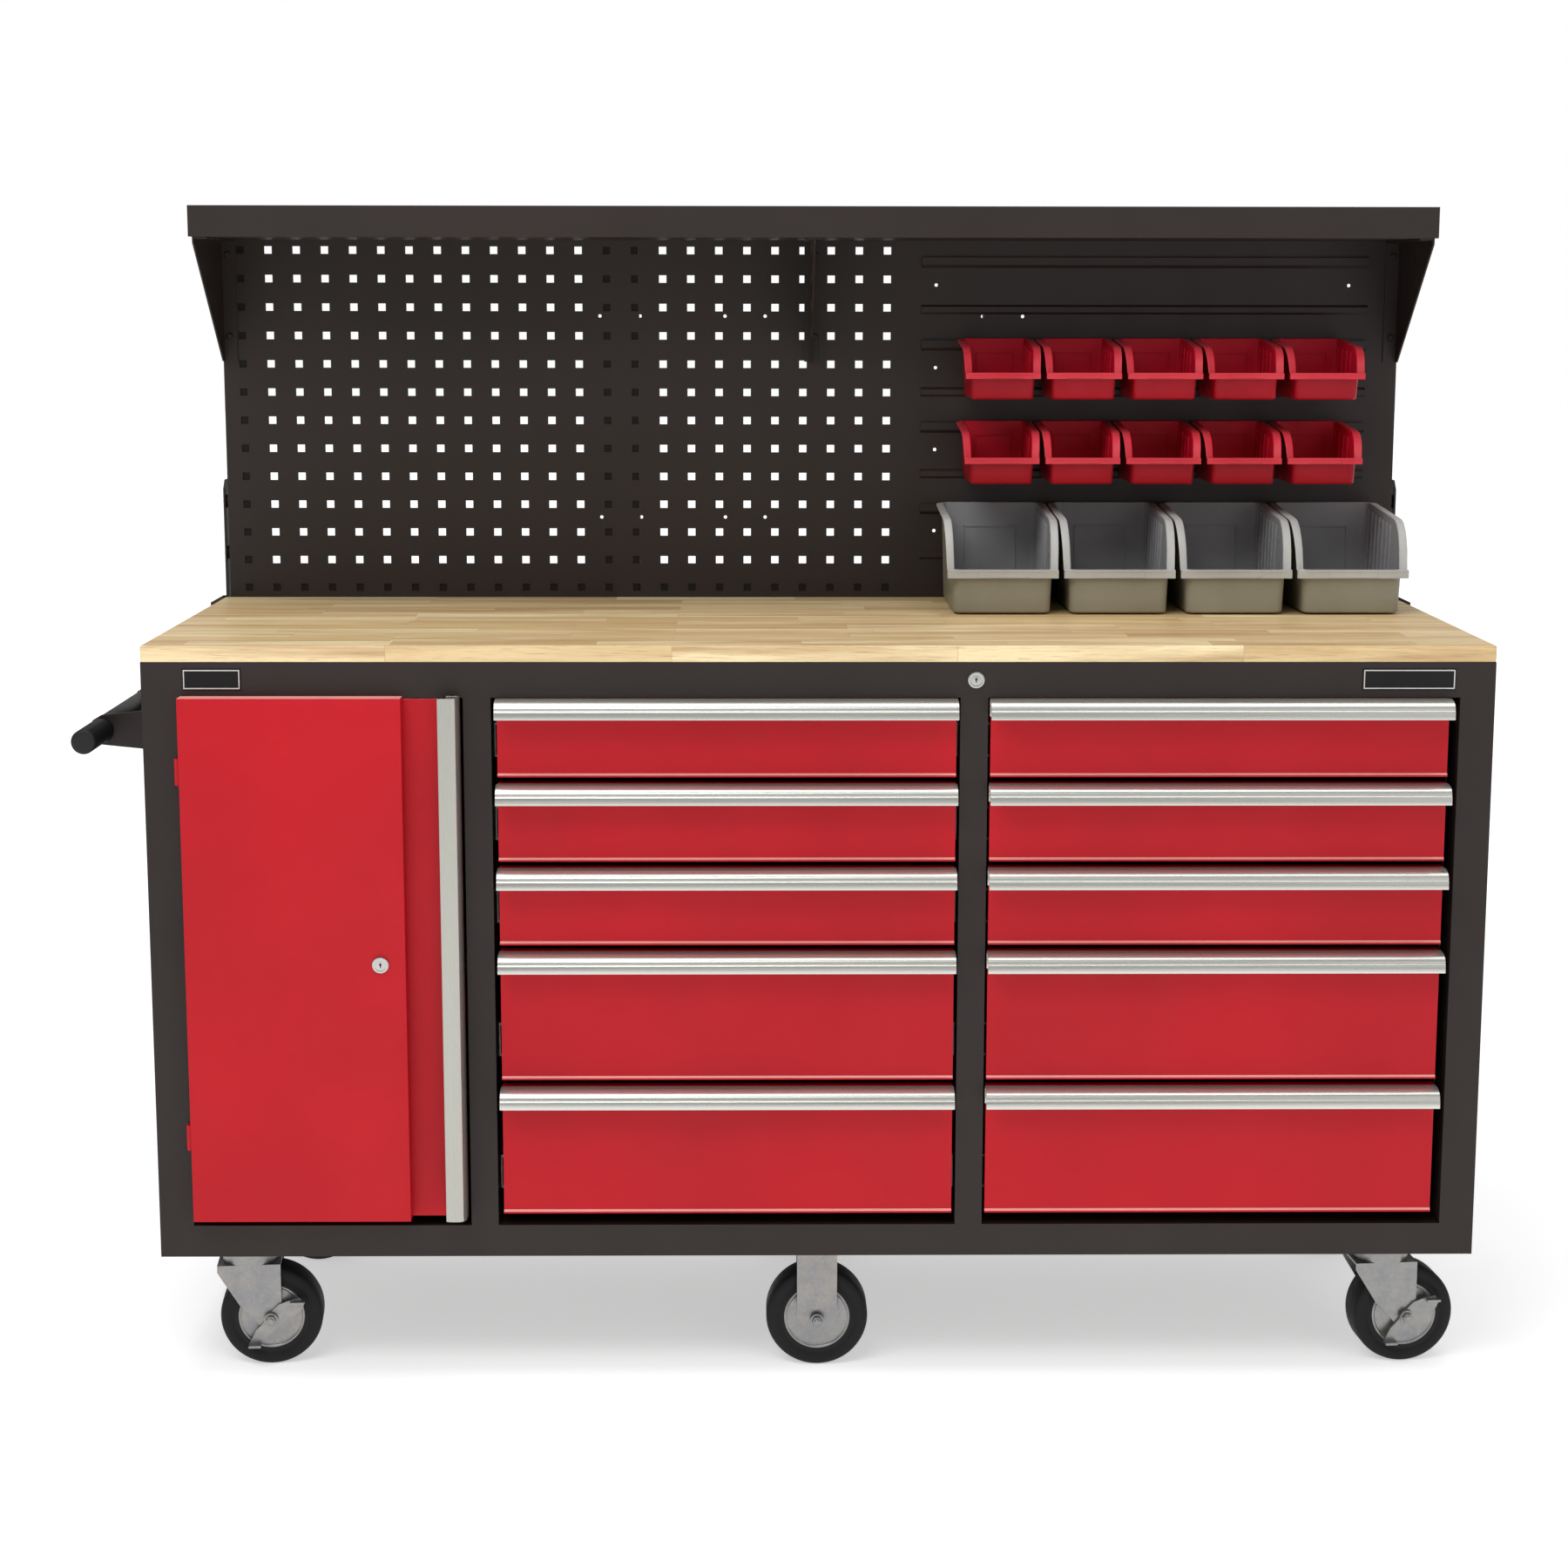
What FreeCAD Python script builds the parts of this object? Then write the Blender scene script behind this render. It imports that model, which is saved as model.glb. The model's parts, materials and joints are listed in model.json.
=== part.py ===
import FreeCAD, Part
import os
import re
import Sketcher

# Mobile steel workbench: a cabinet with one cupboard and two stacks of five
# drawers on six casters, a timber worktop, and a backboard with peg holes,
# hook-on bins and an overhead shelf.
#
# Bench coordinates, used for every sub-part below: x from the middle of the
# cabinet, y back from the cabinet's front face, z up from the floor. Every
# finished sub-part is then shifted by frame_x and frame_y, which puts the
# origin on the floor under the middle of the whole object's footprint.

DIMENSIONS = {
    # cabinet shell and worktop
    "cabinet_width": 1612,
    "cabinet_depth": 563.5,
    "cabinet_foot": 161.5,
    "worktop_level": 916,
    "worktop_thickness": 20,
    "worktop_depth": 562,
    "sheet_steel": 1.5,
    "frame_depth": 40,
    "frame_wall": 1.5,
    "corner_stile": 41.5,
    "mid_stile": 33,
    "top_rail": 42.3,
    "bottom_rail": 39.5,
    "cupboard_stile_x": -408.25,
    "centre_stile_x": 184.25,
    "drawer_bay": 559.5,
    "channel_width": 130,
    "channel_wall": 2,
    "cupboard_shelf_level": 530,
    # drawers
    "front_width": 548,
    "front_thickness": 16,
    "front_skin": 1.2,
    "front_lip": 4.5,
    "front_lip_reach": 2.5,
    "first_front_top": 852.8,
    "shallow_pitch": 102.6,
    "deep_pitch": 168.4,
    "shallow_front": 94.8,
    "deep_front": 160,
    "left_stack_x": -110.75,
    "right_stack_x": 478,
    "pull_length": 550.5,
    "pull_reach": 27,
    "pull_height": 22.6,
    "pull_wall": 2,
    "tray_width": 532.1,
    "tray_depth": 505,
    "tray_wall": 1.2,
    "tray_drop": 22,
    "tray_lift": 8,
    "runner_gap": 13.7,
    "runner_length": 500,
    "runner_height": 42,
    "runner_depth": 10,
    "slide_bar_height": 28,
    "slide_bar": 3,
    # cupboard door
    "door_left": -761,
    "door_right": -429,
    "door_low": 213.5,
    "door_high": 852.5,
    "door_pan": 16,
    "door_skin": 1.2,
    "panel_left": -760,
    "panel_right": -496.2,
    "panel_high": 855.8,
    "panel_reach": 24,
    "door_pull_left": -453,
    "door_pull_width": 24.5,
    "hinge_x": -763.5,
    "hinge_y": -8,
    "hinge_pin_radius": 2.5,
    "knuckle_radius": 4.5,
    "knuckle_height": 32,
    "upper_knuckle": 750,
    "lower_knuckle": 300,
    "hinge_arm": 4,
    "hinge_arm_drop": 4.3,
    "hinge_foot": 1.5,
    "hinge_foot_left": -772.5,
    "door_lock_x": -526,
    "door_lock_z": 534,
    "lock_flange_radius": 9.8,
    "lock_plug_radius": 8,
    "lock_flange": 2.5,
    "running_gap": 0.05,
    "main_lock_x": 186,
    "main_lock_z": 875.2,
    # casters
    "wheel_radius": 63.5,
    "wheel_width": 46,
    "rim_radius": 41,
    "hub_radius": 14,
    "hub_width": 50,
    "axle_radius": 6,
    "trail": 26,
    "swivel_x": 711,
    "caster_inset": 80,
    "fixed_inset": 75,
    "plate_length": 105,
    "plate_width": 85,
    "plate_thickness": 3,
    "fork_gap": 52,
    "fork_wall": 4,
    "crown_level": 133,
    "crown_half": 39,
    "crown_thickness": 3,
    "housing_radius": 34,
    "kingpin_radius": 6,
    # push handle on the left side
    "handle_reach": 82,
    "handle_level": 793,
    "handle_radius": 15,
    "handle_wall": 2,
    "handle_inset": 50,
    "handle_bracket_inset": 150,
    "handle_bracket": 5,
    "handle_foot": 3,
    # backboard, its posts and the overhead shelf
    "board_width": 1595,
    "board_height": 483,
    "post_width": 49.6,
    "post_depth": 35,
    "post_wall": 1.5,
    "inner_post_x": 259.5,
    "outer_post_x": 772.7,
    "post_drop": 200,
    "rear_rail_height": 34,
    "rear_rail_depth": 16,
    "peg_pitch": 38,
    "peg_hole": 10,
    "first_peg_x": -771.4,
    "first_peg_rise": 13.4,
    "louvre_left": 149.3,
    "louvre_length": 606,
    "louvre_pitch": 110.8,
    "first_louvre_rise": 128.3,
    "louvre_reach": 5,
    "louvre_wall": 1.5,
    "louvre_height": 14,
    "bead_drop": 63,
    "bead_height": 13,
    "bead_reach": 3,
    "shelf_width": 1603,
    "shelf_reach": 205,
    "shelf_lip": 39.5,
    "bracket_height": 162,
    "bracket_reach": 199,
    "bracket_plate": 2.5,
    "bracket_flange": 19.5,
    "bracket_outer": 797.5,
    "side_plate": 2.5,
    "side_arm_x": 801.5,
    "side_spacer_radius": 9,
    "side_arm_height": 160,
    "side_foot_reach": 92,
    "side_foot_drop": 70,
    # hook-on bins
    "bin_wall": 2.2,
    "bin_standoff": 6,
    "bin_hook_width": 50,
    "bin_hook": 2.5,
    "bin_rim": 8,
    "small_bin_width": 103,
    "small_bin_depth": 152,
    "small_bin_height": 77.5,
    "small_bin_floor": 82,
    "small_bin_shoulder": 104,
    "small_bin_shoulder_rise": 69,
    "small_bin_lip": 35,
    "small_bin_x": 461,
    "small_bin_pitch": 106.4,
    "large_bin_width": 149,
    "large_bin_depth": 229,
    "large_bin_height": 129,
    "large_bin_floor": 126,
    "large_bin_shoulder": 158,
    "large_bin_shoulder_rise": 119,
    "large_bin_lip": 57,
    "large_bin_x": 472.5,
    "large_bin_pitch": 151.7,
    # small parts
    "bolt_radius": 4,
    "bolt_head_radius": 6.5,
    "bolt_head": 5,
    "screw_radius": 3,
    "screw_head_radius": 5,
    "screw_head": 2.5,
    "badge_height": 26,
    "badge_thickness": 1.5,
    "small_badge_x": -722,
    "small_badge_width": 70,
    "wide_badge_x": 702.5,
    "wide_badge_width": 112,
    "badge_z": 875.6,
}

WORD = re.compile(r"\b[a-z][a-z_]*\b")

document = FreeCAD.newDocument("MobileWorkbench")
sheet = document.addObject("Spreadsheet::Sheet", "dims")
for row, (alias, value) in enumerate(DIMENSIONS.items(), start=1):
    sheet.set(f"A{row}", alias)
    sheet.set(f"B{row}", str(value))
    sheet.setAlias(f"B{row}", alias)
document.recompute()

probe = document.addObject("App::FeaturePython", "probe")
probe.addProperty("App::PropertyFloat", "Value")

# Distances that several sub-parts share, written with the sheet's aliases.
HALF_WIDTH = "cabinet_width / 2"
WORKTOP_UNDER = "(worktop_level - worktop_thickness)"
RAIL_UNDER = "(worktop_level - worktop_thickness - top_rail)"
SILL = "(cabinet_foot + bottom_rail)"
CASTER_REAR = "(cabinet_depth - caster_inset)"
FIXED_REAR = "(cabinet_depth - fixed_inset)"
AXLE_LEVEL = "wheel_radius"
BOARD_FRONT = "worktop_depth"
POST_FRONT = "cabinet_depth"
POST_BACK = "(cabinet_depth + post_depth)"
SHELF_UNDER = "(worktop_level + board_height)"
PLATE_UNDER = "(cabinet_foot - plate_thickness)"
CUPBOARD_STILE_LEFT = "(cupboard_stile_x - mid_stile / 2)"
CUPBOARD_STILE_RIGHT = "(cupboard_stile_x + mid_stile / 2)"
CENTRE_STILE_LEFT = "(centre_stile_x - mid_stile / 2)"
CENTRE_STILE_RIGHT = "(centre_stile_x + mid_stile / 2)"
# The handle reaches furthest left and a side plate's screws furthest right,
# the pulls reach furthest forward and the posts furthest back.
FRAME_X = "((handle_reach + handle_radius - side_plate - screw_head) / 2)"
FRAME_Y = f"((pull_reach - {POST_BACK}) / 2)"

nodes = {}


def cells(text):
    """Point every alias in an expression at its cell."""
    return WORD.sub(lambda word: "dims." + word.group() if word.group() in DIMENSIONS
                    else word.group(), str(text))


def number(text):
    """The present value of an expression."""
    probe.setExpression("Value", cells(text))
    probe.recompute()
    return probe.Value


def bind(item, **sizes):
    """Tie properties of an object to expressions."""
    for prop, text in sizes.items():
        item.setExpression(prop, cells(text))
    return item


def move(item, spot):
    """Tie an object's position to three expressions."""
    for axis, text in zip("xyz", spot):
        item.setExpression("Placement.Base." + axis, cells(text))
    return item


def box(name, low, size):
    """A block from its low corner and its three sizes."""
    block = document.addObject("Part::Box", name)
    bind(block, Length=size[0], Width=size[1], Height=size[2])
    return move(block, low)


def rod(name, foot, radius, length, along="z"):
    """A round bar from the centre of its first end, along x, y or z."""
    turns = {"x": FreeCAD.Rotation(FreeCAD.Vector(0, 1, 0), 90),
             "y": FreeCAD.Rotation(FreeCAD.Vector(1, 0, 0), -90),
             "z": FreeCAD.Rotation()}
    bar = document.addObject("Part::Cylinder", name)
    bind(bar, Radius=radius, Height=length)
    bar.Placement = FreeCAD.Placement(FreeCAD.Vector(), turns[along])
    return move(bar, foot)


def cut(name, base, *tools):
    """A base with one or more tools taken out of it."""
    result = document.addObject("Part::Cut", name)
    result.Base = base
    result.Tool = tools[0] if len(tools) == 1 else fuse(name + "_tools", *tools)
    return result


def fuse(name, *pieces):
    """Pieces joined into one solid."""
    result = document.addObject("Part::MultiFuse", name)
    result.Shapes = list(pieces)
    result.Refine = True
    return result


def common(name, base, tool):
    """What two pieces share."""
    result = document.addObject("Part::Common", name)
    result.Base = base
    result.Tool = tool
    return result


def outline(name, plane, points):
    """A body with a closed sketch whose corners are tied to expressions."""
    body = document.addObject("PartDesign::Body", name)
    sketch = body.newObject("Sketcher::SketchObject", name + "_sketch")
    origin = [item for item in body.Origin.OriginFeatures if item.Role == plane][0]
    sketch.AttachmentSupport = [(origin, "")]
    sketch.MapMode = "FlatFace"
    corners = [FreeCAD.Vector(number(x), number(y), 0) for x, y in points]
    count = len(corners)
    for index, corner in enumerate(corners):
        sketch.addGeometry(Part.LineSegment(corner, corners[(index + 1) % count]))
    for index in range(count):
        sketch.addConstraint(Sketcher.Constraint("Coincident", index, 2, (index + 1) % count, 1))
    for index, (corner, texts) in enumerate(zip(corners, points)):
        for kind, size, text in zip(("DistanceX", "DistanceY"), corner, texts):
            row = sketch.addConstraint(Sketcher.Constraint(kind, -1, 1, index, 1, size))
            sketch.setExpression(f"Constraints[{row}]", cells(text))
    return body, sketch


def pad(name, plane, points, length, spot, reverse=False):
    """An outline pushed out along its plane's normal: -y from XZ, +x from YZ, +z from XY."""
    body, sketch = outline(name, plane, points)
    feature = body.newObject("PartDesign::Pad", name + "_pad")
    feature.Profile = sketch
    feature.Reversed = reverse
    bind(feature, Length=length)
    return move(body, spot)


def spin(name, points):
    """An outline of radius and height turned once round the z axis."""
    body, sketch = outline(name, "XZ_Plane", points)
    feature = body.newObject("PartDesign::Revolution", name + "_turn")
    feature.Profile = sketch
    feature.ReferenceAxis = (sketch, ["V_Axis"])
    feature.Angle = 360
    return body


def tube(name, low, size, along, wall):
    """A rectangular hollow section, open at both ends."""
    outer = box(name + "_outer", low, size)
    inset = {axis: (f"{corner} + {wall}", f"{length} - 2 * {wall}") if axis != along
             else (f"{corner} - 1", f"{length} + 2")
             for axis, corner, length in zip("xyz", low, size)}
    inner = box(name + "_bore", [inset[axis][0] for axis in "xyz"], [inset[axis][1] for axis in "xyz"])
    return cut(name, outer, inner)


def group(name, pieces):
    """Separate solids held together as one object."""
    result = document.addObject("Part::Compound", name)
    result.Links = list(pieces)
    return result


def publish(name, pieces, spot=("0", "0", "0"), rotation=None):
    """Finish one named sub-part, in the whole object's frame."""
    node = group(name + "_node", pieces)
    node.Label = name
    if rotation is not None:
        node.Placement = FreeCAD.Placement(FreeCAD.Vector(), rotation)
    move(node, (f"{spot[0]} + {FRAME_X}", f"{spot[1]} + {FRAME_Y}", spot[2]))
    nodes[name] = node


def mirror(name, piece):
    """A copy of a piece on the other side of the middle plane."""
    copy = document.addObject("Part::Mirroring", name)
    copy.Source = piece
    copy.Normal = FreeCAD.Vector(1, 0, 0)
    return copy


# ---------------------------------------------------------------- cabinet

def build_front_frame():
    """Two rails, two corner stiles, two middle stiles and the door's hinge pins."""
    inner_width = "(cabinet_width - 2 * corner_stile)"
    stile_height = f"({WORKTOP_UNDER} - cabinet_foot)"
    corner = tube("corner_stile_left", (f"-{HALF_WIDTH}", "0", "cabinet_foot"),
                  ("corner_stile", "frame_depth", stile_height), "z", "frame_wall")
    opposite = mirror("corner_stile_right", corner)
    lower = tube("lower_rail", (f"-{inner_width} / 2", "0", "cabinet_foot"),
                 (inner_width, "frame_depth", "bottom_rail"), "x", "frame_wall")
    upper = tube("upper_rail", (f"-{inner_width} / 2", "0", RAIL_UNDER),
                 (inner_width, "frame_depth", "top_rail"), "x", "frame_wall")
    lock_hole = rod("main_lock_hole", ("main_lock_x", "-1", "main_lock_z"),
                    "lock_plug_radius + running_gap", "frame_depth + 2", "y")
    upper = cut("upper_rail_bored", upper, lock_hole)
    bars = [corner, opposite, lower, upper]
    for name, left in (("cupboard_stile", CUPBOARD_STILE_LEFT), ("centre_stile", CENTRE_STILE_LEFT)):
        bars.append(tube(name, (left, "0", SILL),
                         ("mid_stile", "frame_depth", f"{RAIL_UNDER} - {SILL}"), "z", "frame_wall"))
    for name, level in (("upper", "upper_knuckle"), ("lower", "lower_knuckle")):
        low = f"{level} - hinge_arm_drop"
        arm = box(name + "_hinge_arm", ("hinge_x - hinge_pin_radius", "hinge_y", low),
                  ("2 * hinge_pin_radius - 0.3", "-hinge_y", "hinge_arm"))
        foot = box(name + "_hinge_foot", ("hinge_foot_left", "-hinge_foot", low),
                   ("hinge_x + hinge_pin_radius - 0.3 - hinge_foot_left", "hinge_foot", "hinge_arm"))
        pin = rod(name + "_hinge_pin", ("hinge_x", "hinge_y", low), "hinge_pin_radius", "knuckle_height")
        bars.append(fuse(name + "_hinge", arm, foot, pin))
    publish("front_frame", bars)


def build_shell():
    """Side sheets, back sheet, floor with its caster channels, dividers and the cupboard's shelf."""
    height = f"({WORKTOP_UNDER} - cabinet_foot)"
    depth = "(worktop_depth - frame_depth)"
    side = box("side_sheet", (f"-{HALF_WIDTH}", "frame_depth", "cabinet_foot"),
               ("sheet_steel", depth, height))
    publish("side_panel_left", [side])
    publish("side_panel_right", [mirror("side_sheet_opposite", side)])
    back = box("back_sheet", (f"-{HALF_WIDTH}", "worktop_depth", "cabinet_foot"),
               ("cabinet_width", "cabinet_depth - worktop_depth", height))
    publish("cabinet_back", [back])

    floor = box("floor_sheet", (f"-{HALF_WIDTH} + sheet_steel", "frame_depth", f"{SILL} - sheet_steel"),
                ("cabinet_width - 2 * sheet_steel", depth, "sheet_steel"))
    parts = [floor]
    for name, middle in (("left", "-swivel_x"), ("centre", "0"), ("right", "swivel_x")):
        parts.append(tube(name + "_channel", (f"{middle} - channel_width / 2", "frame_depth", "cabinet_foot"),
                          ("channel_width", depth, "bottom_rail - sheet_steel"), "y", "channel_wall"))
    publish("cabinet_floor", parts)

    sheet_height = f"({WORKTOP_UNDER} - {SILL})"
    faces = {"cupboard_side": CUPBOARD_STILE_LEFT,
             "left_stack_outer": f"{CUPBOARD_STILE_RIGHT} - sheet_steel",
             "left_stack_inner": CENTRE_STILE_LEFT,
             "right_stack_inner": f"{CENTRE_STILE_RIGHT} - sheet_steel",
             "right_stack_outer": f"{CENTRE_STILE_RIGHT} + drawer_bay"}
    publish("cabinet_dividers",
            [box(name, (left, "frame_depth", SILL), ("sheet_steel", depth, sheet_height))
             for name, left in faces.items()])

    left = f"(-{HALF_WIDTH} + sheet_steel + 1)"
    width = f"({CUPBOARD_STILE_LEFT} - 1 - {left})"
    tray = box("shelf_sheet", (left, "frame_depth + 12", "cupboard_shelf_level"),
               (width, f"{depth} - 14", "sheet_steel"))
    hem = box("shelf_hem", (left, "frame_depth + 12", "cupboard_shelf_level - 22"),
              (width, "sheet_steel", "22"))
    publish("cupboard_shelf", [fuse("shelf_body", tray, hem)])


def build_worktop():
    """One timber slab."""
    slab = box("slab", (f"-{HALF_WIDTH}", "0", WORKTOP_UNDER),
               ("cabinet_width", "worktop_depth", "worktop_thickness"))
    publish("worktop", [slab])


# ---------------------------------------------------------------- drawers

DRAWERS = []
for stack, middle, bay in (("left", "left_stack_x", CUPBOARD_STILE_RIGHT),
                           ("right", "right_stack_x", CENTRE_STILE_RIGHT)):
    for place in range(5):
        deep = place > 2
        top = f"(first_front_top - {min(place, 3)} * shallow_pitch - {max(place - 3, 0)} * deep_pitch)"
        DRAWERS.append({"name": f"drawer_{stack}_{place + 1}", "middle": middle, "bay": bay, "top": top,
                        "height": "deep_front" if deep else "shallow_front"})


def runner_level(drawer):
    """The height of the middle of a drawer's runners."""
    return f"({drawer['top']} - {drawer['height']} + tray_lift + 30)"


def build_runners():
    """The fixed halves of the telescopic runners, one on each side of every drawer."""
    channels = []
    for drawer in DRAWERS:
        low = f"{runner_level(drawer)} - runner_height / 2"
        sides = {"a": (drawer["bay"], f"{drawer['bay']} + 1.5"),
                 "b": (f"{drawer['bay']} + drawer_bay - runner_depth",
                       f"{drawer['bay']} + drawer_bay - runner_depth - 1.5")}
        for side, (left, groove) in sides.items():
            name = f"{drawer['name']}_runner_{side}"
            channel = box(name + "_body", (left, "frame_depth + 8", low),
                          ("runner_depth", "runner_length", "runner_height"))
            hollow = box(name + "_groove", (groove, "frame_depth + 7", f"{low} + 3"),
                         ("runner_depth", "runner_length + 2", "runner_height - 6"))
            channels.append(cut(name, channel, hollow))
    publish("drawer_runners", channels)


def build_drawer(drawer):
    """A pressed front on a folded tray with its slide bars, and the extruded pull along its top."""
    name, middle, top, height = (drawer[key] for key in ("name", "middle", "top", "height"))
    left = f"({middle} - front_width / 2)"
    low = f"({top} - {height})"
    pan = box(name + "_pan", (left, "0", low), ("front_width", "front_thickness", height))
    hollow = box(name + "_pan_hollow", (f"{left} + front_skin", "front_skin", f"{low} + front_skin"),
                 ("front_width - 2 * front_skin", "front_thickness", f"{height} - 2 * front_skin"))
    ledge = pad(name + "_lip", "YZ_Plane",
                [("0", "0"), ("0", "front_lip"), ("-front_lip_reach", "front_lip / 2"), ("-front_lip_reach", "0")],
                "front_width", (left, "0", low))

    tray_left = f"({drawer['bay']} + runner_gap)"
    tray_low = f"({low} + tray_lift)"
    tray_height = f"({height} - tray_drop - tray_lift)"
    outer = box(name + "_tray_outer", (tray_left, "front_thickness", tray_low),
                ("tray_width", "tray_depth", tray_height))
    inner = box(name + "_tray_inner",
                (f"{tray_left} + tray_wall", "front_thickness + tray_wall", f"{tray_low} + tray_wall"),
                ("tray_width - 2 * tray_wall", "tray_depth - 2 * tray_wall", tray_height))
    bar_low = f"{runner_level(drawer)} - slide_bar_height / 2"
    bars = [box(f"{name}_slide_{side}", (spot, "frame_depth + 10", bar_low),
                ("slide_bar", "runner_length - 10", "slide_bar_height"))
            for side, spot in (("a", f"{tray_left} - slide_bar"), ("b", f"{tray_left} + tray_width"))]
    body = fuse(name + "_body", cut(name + "_front", pan, hollow), ledge,
                cut(name + "_tray", outer, inner), *bars)
    pull = pad(name + "_pull", "YZ_Plane", PULL_PROFILE, "pull_length",
               (f"{middle} - pull_length / 2", "0", top))
    publish(name, [body, pull])


# The pull's section, from the front panel's top edge: a crowned top that rolls
# over into a groove and a straight lip, open underneath for the fingers.
PULL_PROFILE = [
    ("0", "0"),
    ("-pull_reach + 15", "-0.6"),
    ("-pull_reach + 9", "-2"),
    ("-pull_reach + 4.5", "-4.6"),
    ("-pull_reach + 1.8", "-8.2"),
    ("-pull_reach + 1.2", "-10.6"),
    ("-pull_reach + 2", "-11.4"),
    ("-pull_reach + 0.6", "-12.6"),
    ("-pull_reach", "-14"),
    ("-pull_reach", "-pull_height"),
    ("-pull_reach + pull_wall", "-pull_height"),
    ("-pull_reach + pull_wall + 0.6", "-13"),
    ("-pull_reach + 3.8", "-9.2"),
    ("-pull_reach + 6.4", "-6"),
    ("-pull_reach + 10", "-4"),
    ("-pull_reach + 15", "-2.8"),
    ("-pull_wall", "-2.2"),
    ("-pull_wall", "-pull_height + 1"),
    ("0", "-pull_height + 1"),
]


# ---------------------------------------------------------------- door

def build_door():
    """A pressed pan with a raised panel and two hinge knuckles at its left edge."""
    height = "(door_high - door_low)"
    pan = box("door_pan_body", ("door_left", "0", "door_low"),
              ("door_right - door_left", "door_pan", height))
    hollow = box("door_pan_hollow", ("door_left + door_skin", "door_skin", "door_low + door_skin"),
                 ("door_right - door_left - 2 * door_skin", "door_pan", f"{height} - 2 * door_skin"))
    raised = box("door_panel", ("panel_left", "-panel_reach", "door_low"),
                 ("panel_right - panel_left", "panel_reach - 0.4", "panel_high - door_low"))
    raised_hollow = box("door_panel_hollow", ("panel_left + door_skin", "-panel_reach + door_skin", "door_low + door_skin"),
                        ("panel_right - panel_left - 2 * door_skin", "panel_reach + door_pan",
                         "door_high - door_low - 2 * door_skin"))
    bridge = box("door_panel_root", ("panel_left", "-0.4", "door_low"),
                 ("panel_right - panel_left", "0.4", height))
    lock_hole = rod("door_lock_hole", ("door_lock_x", "-panel_reach - 1", "door_lock_z"),
                    "lock_plug_radius + running_gap", "panel_reach + door_pan + 2", "y")
    knuckles = [rod(f"{name}_knuckle", ("hinge_x", "hinge_y", level), "knuckle_radius", "knuckle_height")
                for name, level in (("upper", "upper_knuckle"), ("lower", "lower_knuckle"))]
    bores = [rod(f"{name}_knuckle_bore", ("hinge_x", "hinge_y", f"{level} - 1"),
                 "hinge_pin_radius + running_gap", "knuckle_height + 2")
             for name, level in (("upper", "upper_knuckle"), ("lower", "lower_knuckle"))]
    shell = cut("door_shell", fuse("door_solid", pan, raised, bridge, *knuckles),
                hollow, raised_hollow, lock_hole, *bores)
    publish("door", [shell])

    grip = pad("door_grip", "XY_Plane", DOOR_PULL_PROFILE, "panel_high - door_low",
               ("door_pull_left", "0", "door_low"))
    publish("door_handle", [grip])


# The door's pull seen from above: a rounded hollow grip that stands on the
# door's edge strip and opens towards the raised panel.
DOOR_PULL_PROFILE = [
    ("0", "-pull_reach + 2"),
    ("3", "-pull_reach + 0.6"),
    ("8", "-pull_reach"),
    ("door_pull_width - 9", "-pull_reach"),
    ("door_pull_width - 3.5", "-pull_reach + 2"),
    ("door_pull_width - 0.6", "-pull_reach + 7"),
    ("door_pull_width", "-pull_reach + 12"),
    ("door_pull_width", "0"),
    ("door_pull_width - 16", "0"),
    ("door_pull_width - 16", "-pull_wall"),
    ("door_pull_width - pull_wall", "-pull_wall"),
    ("door_pull_width - pull_wall", "-pull_reach + 12"),
    ("door_pull_width - 4", "-pull_reach + 7"),
    ("door_pull_width - 9.5", "-pull_reach + pull_wall + 0.4"),
    ("8", "-pull_reach + pull_wall"),
    ("1", "-pull_reach + 4.4"),
]


def build_lock(name, face, centre_x, centre_z, reach):
    """A key cylinder with a flange in front, a keyway and a cam behind."""
    flange = rod(name + "_flange", (centre_x, f"{face} - lock_flange - 0.3", centre_z),
                 "lock_flange_radius", "lock_flange", "y")
    plug = rod(name + "_plug", (centre_x, f"{face} - lock_flange", centre_z),
               "lock_plug_radius", f"lock_flange + {reach}", "y")
    keyway = box(name + "_keyway", (f"{centre_x} - 1", f"{face} - lock_flange - 1", f"{centre_z} - 3.5"),
                 ("2", "9", "7"))
    cam = box(name + "_cam", (f"{centre_x} - 7", f"{face} + {reach} - 2", f"{centre_z} - 7"),
              ("14", "2", "16"))
    publish(name, [cut(name + "_bored", fuse(name + "_body", flange, plug, cam), keyway)])


# ---------------------------------------------------------------- casters

def turn(angle):
    """A turn about the vertical."""
    return FreeCAD.Rotation(FreeCAD.Vector(0, 0, 1), angle)


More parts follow.
